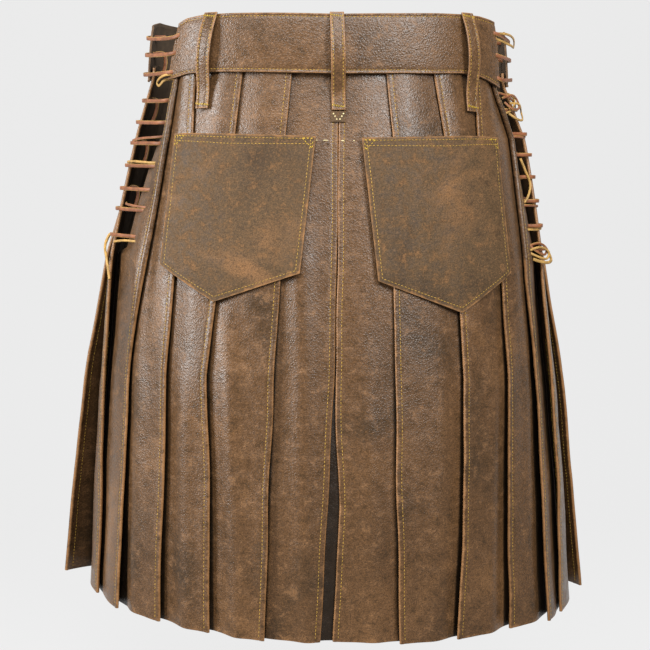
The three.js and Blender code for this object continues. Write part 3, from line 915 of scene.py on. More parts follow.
# Roughness where oiled and where dry, share of each kind of relief, and how much it shines
LOOKS = {
    "panel": {
        "smooth": 0.29, "dry": 0.46, "pebbles": 0.8, "creases": 0.25,
        "bump": 0.7, "clouds": 0.8, "shine": 0.42,
    },
    "band": {
        "smooth": 0.29, "dry": 0.44, "pebbles": 1.0, "creases": 0.18,
        "bump": 0.7, "clouds": 0.6, "shine": 0.42,
    },
    "pocket": {
        "smooth": 0.55, "dry": 0.8, "pebbles": 0.6, "creases": 0.6,
        "bump": 0.6, "clouds": 1.0, "shine": 0.25,
    },
}


def hide_material(name, dye, smooth, dry, pebbles, creases, bump, clouds, shine):
    """Leather by its dye, by its roughness where oiled and where dry, and by its grain."""
    if name in bpy.data.materials:
        return bpy.data.materials[name]
    c = colours()
    material, tree, shader = start_material(name)
    flat = add_node(tree, "ShaderNodeUVMap", {"uv_map": "leather_uv"}).outputs[0]
    # The wear attribute: rubbed edges above zero, painted shade below zero
    wear_and_shade = add_node(tree, "ShaderNodeAttribute", {"attribute_name": "wear_and_shade"}).outputs["Fac"]
    colour = use_group(
        tree,
        hide_colour_group(),
        Vector=flat,
        Leather=dye,
        Dark=c.dark,
        Rubbed=c.rubbed,
        Fold=c.fold,
        Cloudiness=clouds,
        Wear=wear_and_shade,
    )
    grain = use_group(tree, hide_grain_group(), Vector=flat, Pebbles=pebbles, Creases=creases)
    height = grain.outputs["Height"]
    relief = add_node(tree, "ShaderNodeBump", Height=height, Distance=0.00024, Strength=bump)
    tree.links.new(colour.outputs["Colour"], shader.inputs["Base Color"])
    rough = between(tree, colour.outputs["Dryness"], 0.0, 1.1, smooth, dry)
    tree.links.new(rough, shader.inputs["Roughness"])
    tree.links.new(relief.outputs["Normal"], shader.inputs["Normal"])
    shader.inputs["Specular IOR Level"].default_value = shine
    return material


def plain_hide(name, colour, other, scale, rough):
    """Raw cut edges, suede and thread: one colour that shifts a little, with a fine nap."""
    if name in bpy.data.materials:
        return bpy.data.materials[name]
    material, tree, shader = start_material(name)
    where = add_node(tree, "ShaderNodeTexCoord").outputs["Object"]
    shift = noise_value(tree, where, scale, 4, 0.65)
    mixed = blend_colours(tree, between(tree, shift, 0.35, 0.65), colour, other)
    tree.links.new(mixed, shader.inputs["Base Color"])
    nap = noise_value(tree, where, scale * 4, 3, 0.6)
    relief = add_node(tree, "ShaderNodeBump", Height=nap, Distance=0.0002, Strength=0.5)
    tree.links.new(relief.outputs["Normal"], shader.inputs["Normal"])
    shader.inputs["Roughness"].default_value = rough
    return material


# Settings


def colour_setting(name, description, default):
    return bpy.props.FloatVectorProperty(
        name=name,
        description=description,
        subtype="COLOR",
        size=4,
        min=0,
        max=1,
        default=default,
    )


def size_setting(name, description, default):
    return bpy.props.FloatProperty(
        name=name, description=description, unit="LENGTH", min=0, precision=4, default=default
    )


class KiltColours(bpy.types.PropertyGroup):
    """Colours of the leather, thread and laces."""

    leather: colour_setting("Leather", "Main colour of the panels", (0.094, 0.047, 0.019, 1))
    dark: colour_setting("Dark patches", "Where the dye lies thick", (0.038, 0.022, 0.010, 1))
    rubbed: colour_setting(
        "Rubbed patches", "Where the dye is rubbed thin", (0.185, 0.092, 0.036, 1)
    )
    fold: colour_setting("Worn folds", "Fold edges rubbed to the tan", (0.34, 0.165, 0.06, 1))
    pocket: colour_setting(
        "Pocket leather", "The matt leather of the pockets", (0.082, 0.047, 0.020, 1)
    )
    suede: colour_setting("Flesh side", "The inside of the leather", (0.045, 0.028, 0.015, 1))
    cut: colour_setting("Cut edges", "The raw edge of the leather", (0.09, 0.05, 0.024, 1))
    thread: colour_setting("Thread", "Mustard sewing thread", (0.44, 0.26, 0.038, 1))
    bright_thread: colour_setting(
        "Tack thread", "Bright yellow thread of the bar tacks", (0.60, 0.40, 0.025, 1)
    )
    lace: colour_setting("Lace", "Rust face of the laces", (0.27, 0.095, 0.034, 1))
    lace_edge: colour_setting("Lace edge", "Yellow cut edge of the laces", (0.50, 0.29, 0.075, 1))


class KiltSizes(bpy.types.PropertyGroup):
    """Sizes of the small work."""

    stitch_pitch: size_setting("Stitch pitch", "Distance from stitch to stitch", 0.0036)
    stitch_length: size_setting("Stitch length", "Length of the thread that shows", 0.0027)
    stitch_width: size_setting("Stitch width", "Thickness of the thread", 0.00085)
    row_height: size_setting("Mesh row", "Height of one row of the leather mesh", 0.008)


def colours():
    return bpy.context.scene.kilt_colours


def sizes():
    return bpy.context.scene.kilt_sizes


def leather_set(kind):
    """Grain side, flesh side and cut edge for one kind of leather."""
    c = colours()
    dyes = {"panel": c.leather, "band": scaled(c.leather, 1.12), "pocket": c.pocket}
    return [
        hide_material(kind + " leather", dyes[kind], **LOOKS[kind]),
        plain_hide("suede flesh side", c.suede, scaled(c.suede, 1.5), 90, 0.92),
        plain_hide("raw cut edge", c.cut, scaled(c.cut, 1.7), 160, 0.8),
    ]


def thread_material(bright=False):
    c = colours()
    name = "bright tack thread" if bright else "mustard thread"
    colour = c.bright_thread if bright else c.thread
    return plain_hide(name, colour, scaled(colour, 0.6), 300, 0.6)


def lace_materials():
    c = colours()
    return [
        plain_hide("rust lace face", c.lace, scaled(c.lace, 0.6), 120, 0.55),
        plain_hide("yellow lace edge", c.lace_edge, scaled(c.lace_edge, 0.6), 160, 0.6),
    ]


# Sewing


def stitch_row(marks):
    """Places for the stitches along a line of points and normals, each as a matrix."""
    pitch = sizes().stitch_pitch
    size = Vector((sizes().stitch_length / 2, sizes().stitch_width / 2, sizes().stitch_width / 2.6))
    found = []
    travelled = pitch / 2
    for (a, m), (b, n) in zip(marks, marks[1:]):
        length = (b - a).length
        while travelled < length:
            share = travelled / length
            up = m.lerp(n, share).normalized()
            along = (b - a).normalized()
            across = up.cross(along).normalized()
            up = along.cross(across)
            turn = Matrix((along, across, up)).transposed().to_4x4()
            middle = Matrix.Translation(a.lerp(b, share) + up * size.z * 0.5)
            found.append(middle @ turn @ Matrix.Diagonal(size).to_4x4())
            travelled += pitch
        travelled -= length
    return found


def sew(name, places, material):
    """One piece that holds many stitches: small rounded dashes of thread."""
    template = bmesh.new()
    bmesh.ops.create_uvsphere(template, u_segments=6, v_segments=4, radius=1)
    bmesh.ops.rotate(
        template, verts=template.verts, cent=(0, 0, 0), matrix=Matrix.Rotation(math.pi / 2, 3, "Y")
    )
    one = bpy.data.meshes.new("stitch")
    template.to_mesh(one)
    size = len(template.verts)
    template.free()
    bm = bmesh.new()
    for _ in places:
        bm.from_mesh(one)
    bm.verts.ensure_lookup_table()
    for i, where in enumerate(places):
        for vert in bm.verts[i * size : (i + 1) * size]:
            vert.co = where @ vert.co
    bpy.data.meshes.remove(one)
    return finish_piece(name, bm, [material])


# Pieces


def make_pleat(side, k):
    """One pleat of one side; the first lies beside the centre back seam."""
    rows = max(8, round((PLEAT_TOP - HEM) * MM / sizes().row_height))
    heights = spread(HEM, PLEAT_TOP, rows)
    sections = []
    for z in heights:
        row = pleat_section(side, k, z)
        sections.append(row[::-1] if side == "left" else row)
    columns = len(sections[0]) - 1
    number = k + 1 + (10 if side == "left" else 0)

    def where(i, j):
        s, n, from_fold, wear_and_shade = sections[j][i]
        z = heights[j]
        # Points with painted shade keep it; the others get a rubbed hem edge
        if wear_and_shade > -0.1:
            wear_and_shade = max(wear_and_shade, 0.55 * math.exp(-(z - HEM) / 3))
        return place(s, n, z), hide_place(number, from_fold, z), wear_and_shade

    name = "centre_panel_" + side if k == 0 else "pleat_" + side + "_" + str(k)
    piece = leather_piece(name, shaped_grid(columns, rows, where), "panel")
    measured = [*heights[::6], heights[-1]]
    state_cut(lambda z: pleat_section(side, k, z), measured)


def under_section(z):
    """The panel behind the centre seam, from under one side's fold to under the other's."""
    out = max(fold_at("left", 0, z), fold_at("right", 0, z))
    half = underlap_at(z) + out - 1
    row = [t * half for t in spread(-1, 1, UNDER_COLUMNS)]
    return [(s, -2 * LAYER + hang(s, z)) for s in row]


def make_under_panel():
    heights = spread(HEM, PLEAT_TOP, UNDER_ROWS)
    sections = [under_section(z) for z in heights]
    number = HIDE_NUMBERS["centre_under_panel"]

    def where(i, j):
        s, n = sections[j][i]
        # Its whole face gets painted shade, near black
        return place(s, n, heights[j]), hide_place(number, s, heights[j]), UNDER_PAINTED_SHADE

    bm = shaped_grid(UNDER_COLUMNS, UNDER_ROWS, where)
    piece = leather_piece("centre_under_panel", bm, "panel")
    state_cut(under_section, heights)


def return_stitches(side, k, top):
    """The same row where it shows on the hidden side of a fold that stands far off."""
    marks = []
    for z in spread(HEM_STITCH, top, 90):
        row = pleat_section(side, k, z)
        (s0, n0), (s1, n1) = row[0][:2], row[RETURN_COLUMNS][:2]
        length = math.dist((s0, n0), (s1, n1))
        share = 1 - STITCH_FROM_FOLD / length
        s, n = s0 + (s1 - s0) * share, n0 + (n1 - n0) * share
        out_s, out_n = -sign_of(side) * abs(n1 - n0) / length, -abs(s1 - s0) / length
        inner = place(s, n, z)
        outer = place(s + out_s * LEATHER / 2, n + out_n * LEATHER / 2, z)
        marks.append((outer, (outer - inner).normalized()))
    return stitch_row(marks)


def fold_stitches(side, k):
    """The row of stitching beside a fold."""
    marks = []
    for z in spread(HEM_STITCH, WAIST_STITCH, 110):
        row = pleat_section(side, k, z)
        panel = row[RETURN_COLUMNS + BEND_COLUMNS :]
        s, n = min(panel, key=lambda p: abs(p[2] - STITCH_FROM_FOLD))[:2]
        marks.append((place(s, n + LEATHER / 2, z), outward(s, z)))
    return stitch_row(marks)


class KILT_OT_pleats(bpy.types.Operator):
    """Cut and hang the pleats of both sides, with the panel behind the centre seam."""

    bl_idname = "kilt.pleats"
    bl_label = "Pleats"

    def execute(self, context):
        for side in SIDES:
            for k in range(LAST_PLEAT + 1):
                make_pleat(side, k)
        make_under_panel()
        return {"FINISHED"}


class KILT_OT_fold_sewing(bpy.types.Operator):
    """Sew the rows beside every fold and both sides of the centre seam."""

    bl_idname = "kilt.fold_sewing"
    bl_label = "Fold stitching"

    def execute(self, context):
        for side in SIDES:
            places = []
            for k in range(LAST_PLEAT + 1):
                places += fold_stitches(side, k)
            places += return_stitches(side, LAST_PLEAT, -200)
            places += return_stitches(side, FRONT_PLEAT, -300)
            sew("stitching_folds_" + side, places, thread_material())
        return {"FINISHED"}


def apron_out(q, z):
    """Stand-off of the apron, which hangs in waves of its own."""
    return APRON_OUT + 0.8 * hang(q + 900, z)


def apron_section(z):
    left = half_length(z, "left") - apron_at("left", z)
    right = half_length(z, "right") - apron_at("right", z)
    return [(q, apron_out(q, z)) for q in spread(right, -left, APRON_COLUMNS)]


class KILT_OT_apron(bpy.types.Operator):
    """Hang the plain front apron over the ends of the last pleats."""

    bl_idname = "kilt.apron"
    bl_label = "Front apron"

    def execute(self, context):
        heights = spread(HEM, PLEAT_TOP, APRON_ROWS)
        sections = [apron_section(z) for z in heights]
        number = HIDE_NUMBERS["front_apron"]

        def where(i, j):
            q, n = sections[j][i]
            edge = min(i, APRON_COLUMNS - i)
            wear_and_shade = 0.9 * math.exp(-edge) if edge < 2 else 0.5 * math.exp(-(heights[j] - HEM) / 3)
            return place_front(q, n, heights[j]), hide_place(number, q, heights[j]), wear_and_shade

        piece = leather_piece("front_apron", shaped_grid(APRON_COLUMNS, APRON_ROWS, where), "panel")
        state_cut(apron_section, heights)
        places = []
        for side in SIDES:
            marks = []
            for z in spread(HEM_STITCH, WAIST_STITCH, 110):
                q = sign_of(side) * (half_length(z, side) - apron_at(side, z) - STITCH_FROM_FOLD)
                point = place_front(q, apron_out(q, z) + LEATHER / 2, z)
                marks.append((point, away(place_front, q, z)))
            places += stitch_row(marks)
        sew("stitching_apron", places, thread_material())
        return {"FINISHED"}


BAND_EDGE_STITCH = 3.2


def band_profile(z):
    """Stand-off across the band: flat, pressed in at its two stitch rows, rolled at its edges."""
    middle = (BAND_TOP + BAND_BOTTOM) / 2
    out = 0.7 * math.cos((z - middle) / (BAND_TOP - middle) * math.pi / 2)
    for row in (BAND_TOP - BAND_EDGE_STITCH, BAND_BOTTOM + BAND_EDGE_STITCH):
        out -= 0.45 * bell(z - row, SUNK_WIDTH)
    return out


def band_out(s, z):
    return BAND_OUT + band_profile(z) + 0.9 * noise.noise(Vector((s * 0.02, z * 0.012, 2.2)))


BAND_ROWS = [BAND_BOTTOM + d for d in (0, 1.2, 2.2, 3.2, 4.3, 6.5, 12.5, 19.5, 26.5)]
BAND_ROWS += [BAND_TOP - d for d in (24, 18, 12, 6.5, 4.3, 3.2, 2.2, 1.2, 0)]


def make_band(name, put, ends):
    """One length of waistband between two ends that lean, with its two rows of stitching."""
    columns = 96
    number = HIDE_NUMBERS[name]

    def section(z):
        return [(s, band_out(s, z)) for s in spread(*ends(z), columns)]

    rows = [section(z) for z in BAND_ROWS]

    def where(i, j):
        s, n = rows[j][i]
        z = BAND_ROWS[j]
        edge = min(BAND_TOP - z, z - BAND_BOTTOM, abs(s - rows[j][0][0]), abs(s - rows[j][-1][0]))
        return put(s, n, z), hide_place(number, s, z), 0.85 * bell(edge, 1.6)

    bm = shaped_grid(columns, len(BAND_ROWS) - 1, where)
    piece = leather_piece(name, bm, "band", BAND_WALL, 0.9)
    state_cut(section, BAND_ROWS)
    places = []
    for z in (BAND_TOP - BAND_EDGE_STITCH, BAND_BOTTOM + BAND_EDGE_STITCH):
        low, high = ends(z)
        step = BAND_EDGE_STITCH * (1 if high > low else -1)
        marks = []
        for s in spread(low + step, high - step, 220):
            marks.append((put(s, band_out(s, z) + BAND_WALL / 2, z), away(put, s, z)))
        places += stitch_row(marks)
    sew("stitching_" + name, places, thread_material())


def band_end(table, side, z):
    return read((BAND_TOP, BAND_BOTTOM), table[side], z)


class KILT_OT_waistband(bpy.types.Operator):
    """Make the two lengths of waistband, which the lacing slits part."""

    bl_idname = "kilt.waistband"
    bl_label = "Waistband"

    def execute(self, context):
        make_band(
            "waistband_back",
            place,
            lambda z: (-band_end(BACK_BAND_END, "left", z), band_end(BACK_BAND_END, "right", z)),
        )
        make_band(
            "waistband_front",
            place_front,
            lambda z: (
                half_length(z, "right") - band_end(FRONT_BAND_END, "right", z),
                band_end(FRONT_BAND_END, "left", z) - half_length(z, "left"),
            ),
        )
        return {"FINISHED"}


def pocket_point(side, u, v):
    """Distance round and height on a pocket; u runs from the inner edge, v from the top down."""
    pocket = POCKETS[side]
    top, low, point = pocket["top"], pocket["low"], pocket["point"]
    share = (point[0] - low[0]) / (low[2] - low[0])
    top_s = top[0] + (top[2] - top[0]) * u
    top_z = top[1] + (top[3] - top[1]) * u
    low_s = low[0] + (low[2] - low[0]) * u
    low_z = read((0, share, 1), (low[1], point[1], low[3]), u)
    sign = sign_of(side)
    return sign * (top_s + (low_s - top_s) * v), top_z + (low_z - top_z) * v


POCKET_COLUMNS = 44
POCKET_ROWS = 40
POCKET_EDGE_STITCH = 4.6
POCKET_TOP_STITCH = 3.2
POCKET_HEM_STITCH = 9
CORNER_WIDE = 13
CORNER_DEEP = 14
CORNER_EDGE = 2.2


def pocket_edge(side, u, v):
    """Distance to the nearest sewn edge and to the open top edge."""
    s, z = pocket_point(side, u, v)
    left = abs(s - pocket_point(side, 0, v)[0])
    right = abs(s - pocket_point(side, 1, v)[0])
    low = abs(z - pocket_point(side, u, 1)[1]) * 0.97
    top = abs(z - pocket_point(side, u, 0)[1])
    return min(left, right, low), top


def pocket_out(side, u, v):
    edge, top = pocket_edge(side, u, v)
    s, z = pocket_point(side, u, v)
    out = POCKET_OUT + 1.1 * math.sin(math.pi * u) * (1 - v) ** 2
    out += 0.5 * (1 - math.exp(-edge / 12)) + 0.5 * noise.noise(Vector((s * 0.03, z * 0.03, 7.7)))
    out -= 0.4 * bell(edge - POCKET_EDGE_STITCH, SUNK_WIDTH)
    out -= 0.3 * bell(top - POCKET_HEM_STITCH, SUNK_WIDTH)
    return out + hang(s, z)


def nearest_share(side, from_edge, u, v, across):
    """Where a point lies in u or v when it stands a given distance inside the edge."""
    s, z = pocket_point(side, u, v)
    if across:
        other = pocket_point(side, 1 - u, v)[0]
        return from_edge / abs(other - s)
    other = pocket_point(side, u, 1 - v)[1]
    return from_edge / abs(other - z)


def pocket_line(side, kind):
    """The stitch lines of a pocket as (u, v) pairs."""
    if kind == "edge":
        top, low = (nearest_share(side, POCKET_EDGE_STITCH, 0, v, True) for v in (0, 1))
        foot = 1 - nearest_share(side, POCKET_EDGE_STITCH * 1.1, 0.5, 1, False)
        line = [(top + (low - top) * v, v) for v in spread(0.02, foot, 40)]
        line += [(u, foot) for u in spread(low, 1 - low, 60)[1:]]
        up = spread(0, foot - 0.02, 40)[1:]
        return line + [(1 - low + (low - top) * v, foot - v) for v in up]
    from_top = POCKET_TOP_STITCH if kind == "top" else POCKET_HEM_STITCH
    v = nearest_share(side, from_top, 0.5, 0, False)
    return [(u, v) for u in spread(0.015, 0.985, 60)]


def pocket_surface(side, u, v, lift=0.0):
    s, z = pocket_point(side, u, v)
    return place(s, pocket_out(side, u, v) + lift, z)


def on_pocket(side, pairs):
    marks = []
    for u, v in pairs:
        marks.append((pocket_surface(side, u, v, LEATHER / 2), outward(*pocket_point(side, u, v))))
    return stitch_row(marks)


class KILT_OT_pockets(bpy.types.Operator):
    """Lay the two patch pockets over the pleats and sew them down."""

    bl_idname = "kilt.pockets"
    bl_label = "Pockets"

    def execute(self, context):
        for side in SIDES:
            self.make_pocket(side)
        return {"FINISHED"}

    def make_pocket(self, side):
        number = HIDE_NUMBERS["pocket_" + side]
        pocket = POCKETS[side]
        share = (pocket["point"][0] - pocket["low"][0]) / (pocket["low"][2] - pocket["low"][0])
        half = POCKET_COLUMNS // 2
        across = spread(0, share, half) + spread(share, 1, half)[1:]

        def where(i, j):
            u = across[POCKET_COLUMNS - i if side == "left" else i]
            v = 1 - j / POCKET_ROWS
            s, z = pocket_point(side, u, v)
            edge, top = pocket_edge(side, u, v)
            worn = 0.8 * bell(min(edge, top), RUB_WIDTH)
            return pocket_surface(side, u, v), hide_place(number, s, z), worn

        bm = shaped_grid(POCKET_COLUMNS, POCKET_ROWS, where)
        piece = leather_piece("pocket_" + side, bm, "pocket")
        places = []
        for kind in ("edge", "top", "hem"):
            places += on_pocket(side, pocket_line(side, kind))
        sew("stitching_pocket_" + side, places, thread_material())
        tacks = []
        for u in (0, 1):
            wide = nearest_share(side, CORNER_WIDE, 0, 0, True)
            deep = nearest_share(side, CORNER_DEEP, 0.5, 0, False)
            near = nearest_share(side, CORNER_EDGE, 0, 0, True)
            corners = [(near, 0.015), (wide, 0.015), (near, deep), (near, 0.015)]
            corners = [(abs(u - a), b) for a, b in corners]
            pairs = []
            for (a, b), (c, d) in zip(corners, corners[1:]):
                pairs += [(a + (c - a) * t, b + (d - b) * t) for t in spread(0, 1, 6)[:-1]]
            tacks += on_pocket(side, pairs)
        sew("corner_tacks_" + side, tacks, thread_material(True))


def loop_out(loop, z):
    n = read(LOOP_HEIGHTS, LOOP_OUT, z)
    reach = [read(LOOP_HEIGHTS, LOOP_OUT, z + d) for d in (-4, -2, 0, 2, 4)]
    if LOOP_LOW + 4 < z < LOOP_TOP - 4:
        n = sum(reach) / len(reach)
    return n - loop["sink"] * share_of((z - SINK_FROM) / (SINK_TO - SINK_FROM))


def loop_middle(loop, z):
    return read((LOOP_TOP, LOOP_LOW), (loop["top"], loop["low"]), z)


class KILT_OT_belt_loops(bpy.types.Operator):
    """Make the three belt loops with their bar tacks, and the small tab under the middle one."""

    bl_idname = "kilt.belt_loops"
    bl_label = "Belt loops"

    def execute(self, context):
        for side, loop in LOOPS.items():
            self.make_loop(side, loop)
        self.make_tab()
        self.make_tack_marks()
        return {"FINISHED"}

    def make_loop(self, side, loop):
        number = HIDE_NUMBERS["belt_loop_" + side]
        rows, columns = 56, 14
        heights = spread(LOOP_LOW, LOOP_TOP, rows)
        width = LOOP_WIDTH

        def crown(t):
            edge = (0.5 - abs(t)) * width
            return 0.5 * bell(edge - 1.2, 1.3) - 0.35 * bell(edge - 3, 0.9)

        def where(i, j):
            t = i / columns - 0.5
            z = heights[j]
            edge = min((0.5 - abs(t)) * width, z - LOOP_LOW, LOOP_TOP - z)
            n = loop_out(loop, z) + crown(t)
            worn = 0.95 * bell(edge, 1.9)
            point = place(loop_middle(loop, z) + t * width, n, z)
            return point, hide_place(number, t * width, z), worn

        bm = shaped_grid(columns, rows, where)
        piece = leather_piece("belt_loop_" + side, bm, "band", LOOP_WALL, 0.7)
        strap = [(z, loop_out(loop, z)) for z in heights]
        places = []
        for t in (-0.5 + 2.2 / width, 0.5 - 2.2 / width):
            marks = []
            for z in spread(LOOP_LOW + 5, LOOP_TOP - 4, 70):
                here = loop_middle(loop, z) + t * width
                out = loop_out(loop, z) + crown(t) + LOOP_WALL / 2
                marks.append((place(here, out, z), outward(here, z)))
            places += stitch_row(marks)
        sew("stitching_loop_" + side, places, thread_material())
        tacks = []
        for z in (LOOP_TOP - 3.4, LOOP_LOW + 4.2):
            marks = []
            for i, t in enumerate(spread(-0.5, 0.5, 16)):
                here = loop_middle(loop, z) + t * width
                out = loop_out(loop, z) + crown(t) + LOOP_WALL / 2 + 0.2
                zigzag = 0.7 if i % 2 else -0.7
                marks.append((place(here, out, z + zigzag), outward(here, z)))
            tacks += stitch_row(marks)
        sew("bar_tacks_" + side, tacks, thread_material(True))

    def make_tab(self):
        number = HIDE_NUMBERS["loop_tab"]

        def where(i, j):
            s = TAB["left"] + (TAB["right"] - TAB["left"]) * i / 12
            z = TAB["bottom"] + (TAB["top"] - TAB["bottom"]) * j / 10
            edge = min(s - TAB["left"], TAB["right"] - s, z - TAB["bottom"])
            return place(s, TAB["out"], z), hide_place(number, s, z), 0.5 * bell(edge, 1)

        piece = leather_piece("loop_tab", shaped_grid(12, 10, where), "pocket")
        dots = []
        size = Matrix.Diagonal(Vector((0.9, 0.9, 0.45)) * MM).to_4x4()
        for s, z in ((-1, -71), (0.6, -73.5), (2.2, -76.3), (5.4, -76.3), (7.1, -73.5), (8.6, -71)):
            up = outward(s, z)
            turn = up.to_track_quat("Z", "Y").to_matrix().to_4x4()
            middle = place(s, TAB["out"] + LEATHER / 2 + 0.1, z)
            dots.append(Matrix.Translation(middle) @ turn @ size)
        sew("tab_stitches", dots, cream_material())

    def make_tack_marks(self):
        """Small pale tacks in a row between the pockets."""
        marks = []
        for s, long in ((-17.3, 0.9), (-8.7, 3.0), (8.4, 1.7), (19.4, 0.9)):
            row = pleat_section(side_of(s), 0, TACK_HEIGHT)
            n = min(row, key=lambda p: abs(p[0] - s) - p[1] * 0.1)[1]
            up = outward(s, TACK_HEIGHT)
            along = Vector((0, 0, 1)).cross(up).normalized()
            turn = Matrix((along, up.cross(along), up)).transposed().to_4x4()
            size = Matrix.Diagonal(Vector((long, 0.7, 0.4)) * MM).to_4x4()
            middle = place(s, n + LEATHER / 2 + 0.15, TACK_HEIGHT)
            marks.append(Matrix.Translation(middle) @ turn @ size)
        sew("tack_marks", marks, cream_material())


def cream_material():
    return plain_hide("cream thread", (0.66, 0.56, 0.3, 1), (0.5, 0.4, 0.2, 1), 300, 0.6)


def slit_edges(side, z):
    """Distance round and stand-off of the leather at the back and front eyelets."""
    if z > BAND_BOTTOM + 2:
        back = (band_end(BACK_BAND_END, side, z) - BAND_HOLE, BAND_OUT)
        return back, (fold_at(side, FRONT_PLEAT, z), BAND_OUT + 2)
    back = (fold_at(side, SLIT_PLEAT, z) + EYELET_BACK, PANEL_OUT)
    return back, (fold_at(side, FRONT_PLEAT, z), tip_at(side, FRONT_PLEAT, z))


def lace_rungs(side):
    """The way of the lace: outside across the slit, through the leather and down behind it."""
    sign = sign_of(side)
    points = []
    for number, z in enumerate(RUNGS[side]):
        (back, back_out), (front, front_out) = slit_edges(side, z)
        across = [
            (back - 1, INSIDE),
            (back + 1, back_out),
            (back + 8, back_out + 3.4),
            (front - 3, front_out + 2.8),
            (front + 6, front_out + 3.6),
            (front + EYELET_FRONT, front_out + 0.5),
            (front + EYELET_FRONT + 1, INSIDE),
        ]
        if number % 2 == 0:
            across.reverse()
        if number == len(RUNGS[side]) - 1:
            across = across[:-2]
        points += [place(sign * s, n, z) for s, n in across]
    return points


def strand_points(side, strand):
    sign = sign_of(side)
    points = []
    for share, lift, z in strand:
        (back, back_out), (front, front_out) = slit_edges(side, z)
        s = back + (front + EYELET_FRONT - back) * share
        points.append(place(sign * s, back_out + (front_out - back_out) * share + lift, z))
    return points


def turning_frames(line):
    """Directions across and out of a thong at each point of its line, without twisting."""
    upright = Vector((0, 0, 1))
    across = upright
    frames = []
    for i in range(len(line)):
        along = (line[min(len(line) - 1, i + 1)] - line[max(0, i - 1)]).normalized()
        across = (across - along * across.dot(along)).normalized()
        level = upright - along * upright.dot(along)
        if i and level.length > 0.7:
            target = level.normalized() * math.copysign(1, across.dot(level))
            across = across.lerp(target, 0.12).normalized()
        frames.append((across.copy(), along.cross(across)))
    return frames


def thong(line, width, thick, pale):
    """A flat thong swept along a line, with yellow cut edges and closed ends."""
    frames = turning_frames(line)
    w, h = width / 2, thick / 2
    corner = min(w, h) * 0.45
    outline = []
    for x, y in ((1, 1), (-1, 1), (-1, -1), (1, -1)):
        a = (x * w, y * (h - corner))
        b = (x * (w - corner), y * h)
        outline += [a, b] if x * y > 0 else [b, a]
    sides = len(outline)
    bm = bmesh.new()
    bmesh.ops.create_grid(bm, x_segments=sides, y_segments=len(line) - 1, size=1)
    columns = {}
    for vert in bm.verts:
        i = round((vert.co.x + 1) / 2 * sides)
        j = round((vert.co.y + 1) / 2 * (len(line) - 1))
        x, y = outline[i % sides]
        a, b = frames[j]
        columns[vert] = i
        vert.co = line[j] + a * x + b * y
    for face in bm.faces:
        side_number = sum(columns[v] for v in face.verts) // 4 % sides
        face.material_index = 1 if pale or side_number in (0, 3, 4, 7) else 0
    bmesh.ops.remove_doubles(bm, verts=bm.verts, dist=1e-6)
    bmesh.ops.holes_fill(bm, edges=[e for e in bm.edges if e.is_boundary], sides=0)
    bmesh.ops.recalc_face_normals(bm, faces=bm.faces)
    return bm


def ribbon(name, strands):
    """One piece made of thongs, each given as its line, width, thickness and paleness."""
    whole = bmesh.new()
    part = bpy.data.meshes.new("thong")
    for line, width, thick, pale in strands:
        bm = thong(line, width, thick, pale)
        bm.to_mesh(part)
        bm.free()
        whole.from_mesh(part)
    bpy.data.meshes.remove(part)
    return finish_piece(name, whole, lace_materials())


def tail_points(side):
    sign = sign_of(side)
    start = RUNGS[side][-1]
    edge = fold_at(side, FRONT_PLEAT, start)
    out = tip_at(side, FRONT_PLEAT, start)
    return [place(sign * (edge + past), out + up, start - drop) for past, up, drop in TAILS[side]]


class KILT_OT_lace_ends(bpy.types.Operator):
    """Hang the loose end of each lace below its last rung."""

    bl_idname = "kilt.lace_ends"
    bl_label = "Loose lace ends"

    def execute(self, context):
        for side in SIDES:
            line = catmull(tail_points(side), 0.0012)
            name = "lace_" + side + "_tail"
            piece = ribbon("loose_" + name, [(line, TAIL_DIAMETER * MM, TAIL_THICK * MM, True)])
            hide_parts(name)
        return {"FINISHED"}


class KILT_OT_laces(bpy.types.Operator):
    """Lace the slit on each side, rung by rung."""

    bl_idname = "kilt.laces"
    bl_label = "Laces"

    def execute(self, context):
        for side in SIDES:
            line = catmull(lace_rungs(side), LACE_STEP)
            strands = [(line, LACE_WIDTH * MM, LACE_THICK * MM, False)]
            for strand in STRANDS[side]:
                line = catmull(strand_points(side, strand), LACE_STEP)
                pale = len(strands) % 2 == 1
                strands.append((line, STRAND_WIDTH * MM, STRAND_THICK * MM, pale))
            piece = ribbon("thong_lace_" + side, strands)
            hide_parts("lace_" + side)
        return {"FINISHED"}


# Camera, light and floor

CAMERA_DISTANCE = 1.354
CAMERA_HEIGHT = -0.1095
CAMERA_TURN = math.radians(3.0)
CAMERA_PITCH = math.radians(7.83)
CAMERA_ROLL = math.radians(0.9)
CAMERA_LENS = 69.12

# The floor lies flat, bends up behind the kilt and ends as a wall
FLOOR_WIDTH = 12
FLOOR_FRONT = -3
FLOOR_LEVEL = -0.95
FLOOR_FLAT = 4.5
FLOOR_BEND = 1.5
FLOOR_LENGTH = 9

# Softboxes: name, place, height aimed at on the middle line, width and power
LAMPS = (
    ("left softbox", (-1.75, -0.75, 0.25), -0.25, 0.7, 44),
    ("right softbox", (0.95, -1.5, 0.75), 0.0, 0.6, 34),
    ("front softbox", (-0.25, -1.5, 1.4), -0.1, 0.9, 40),
)


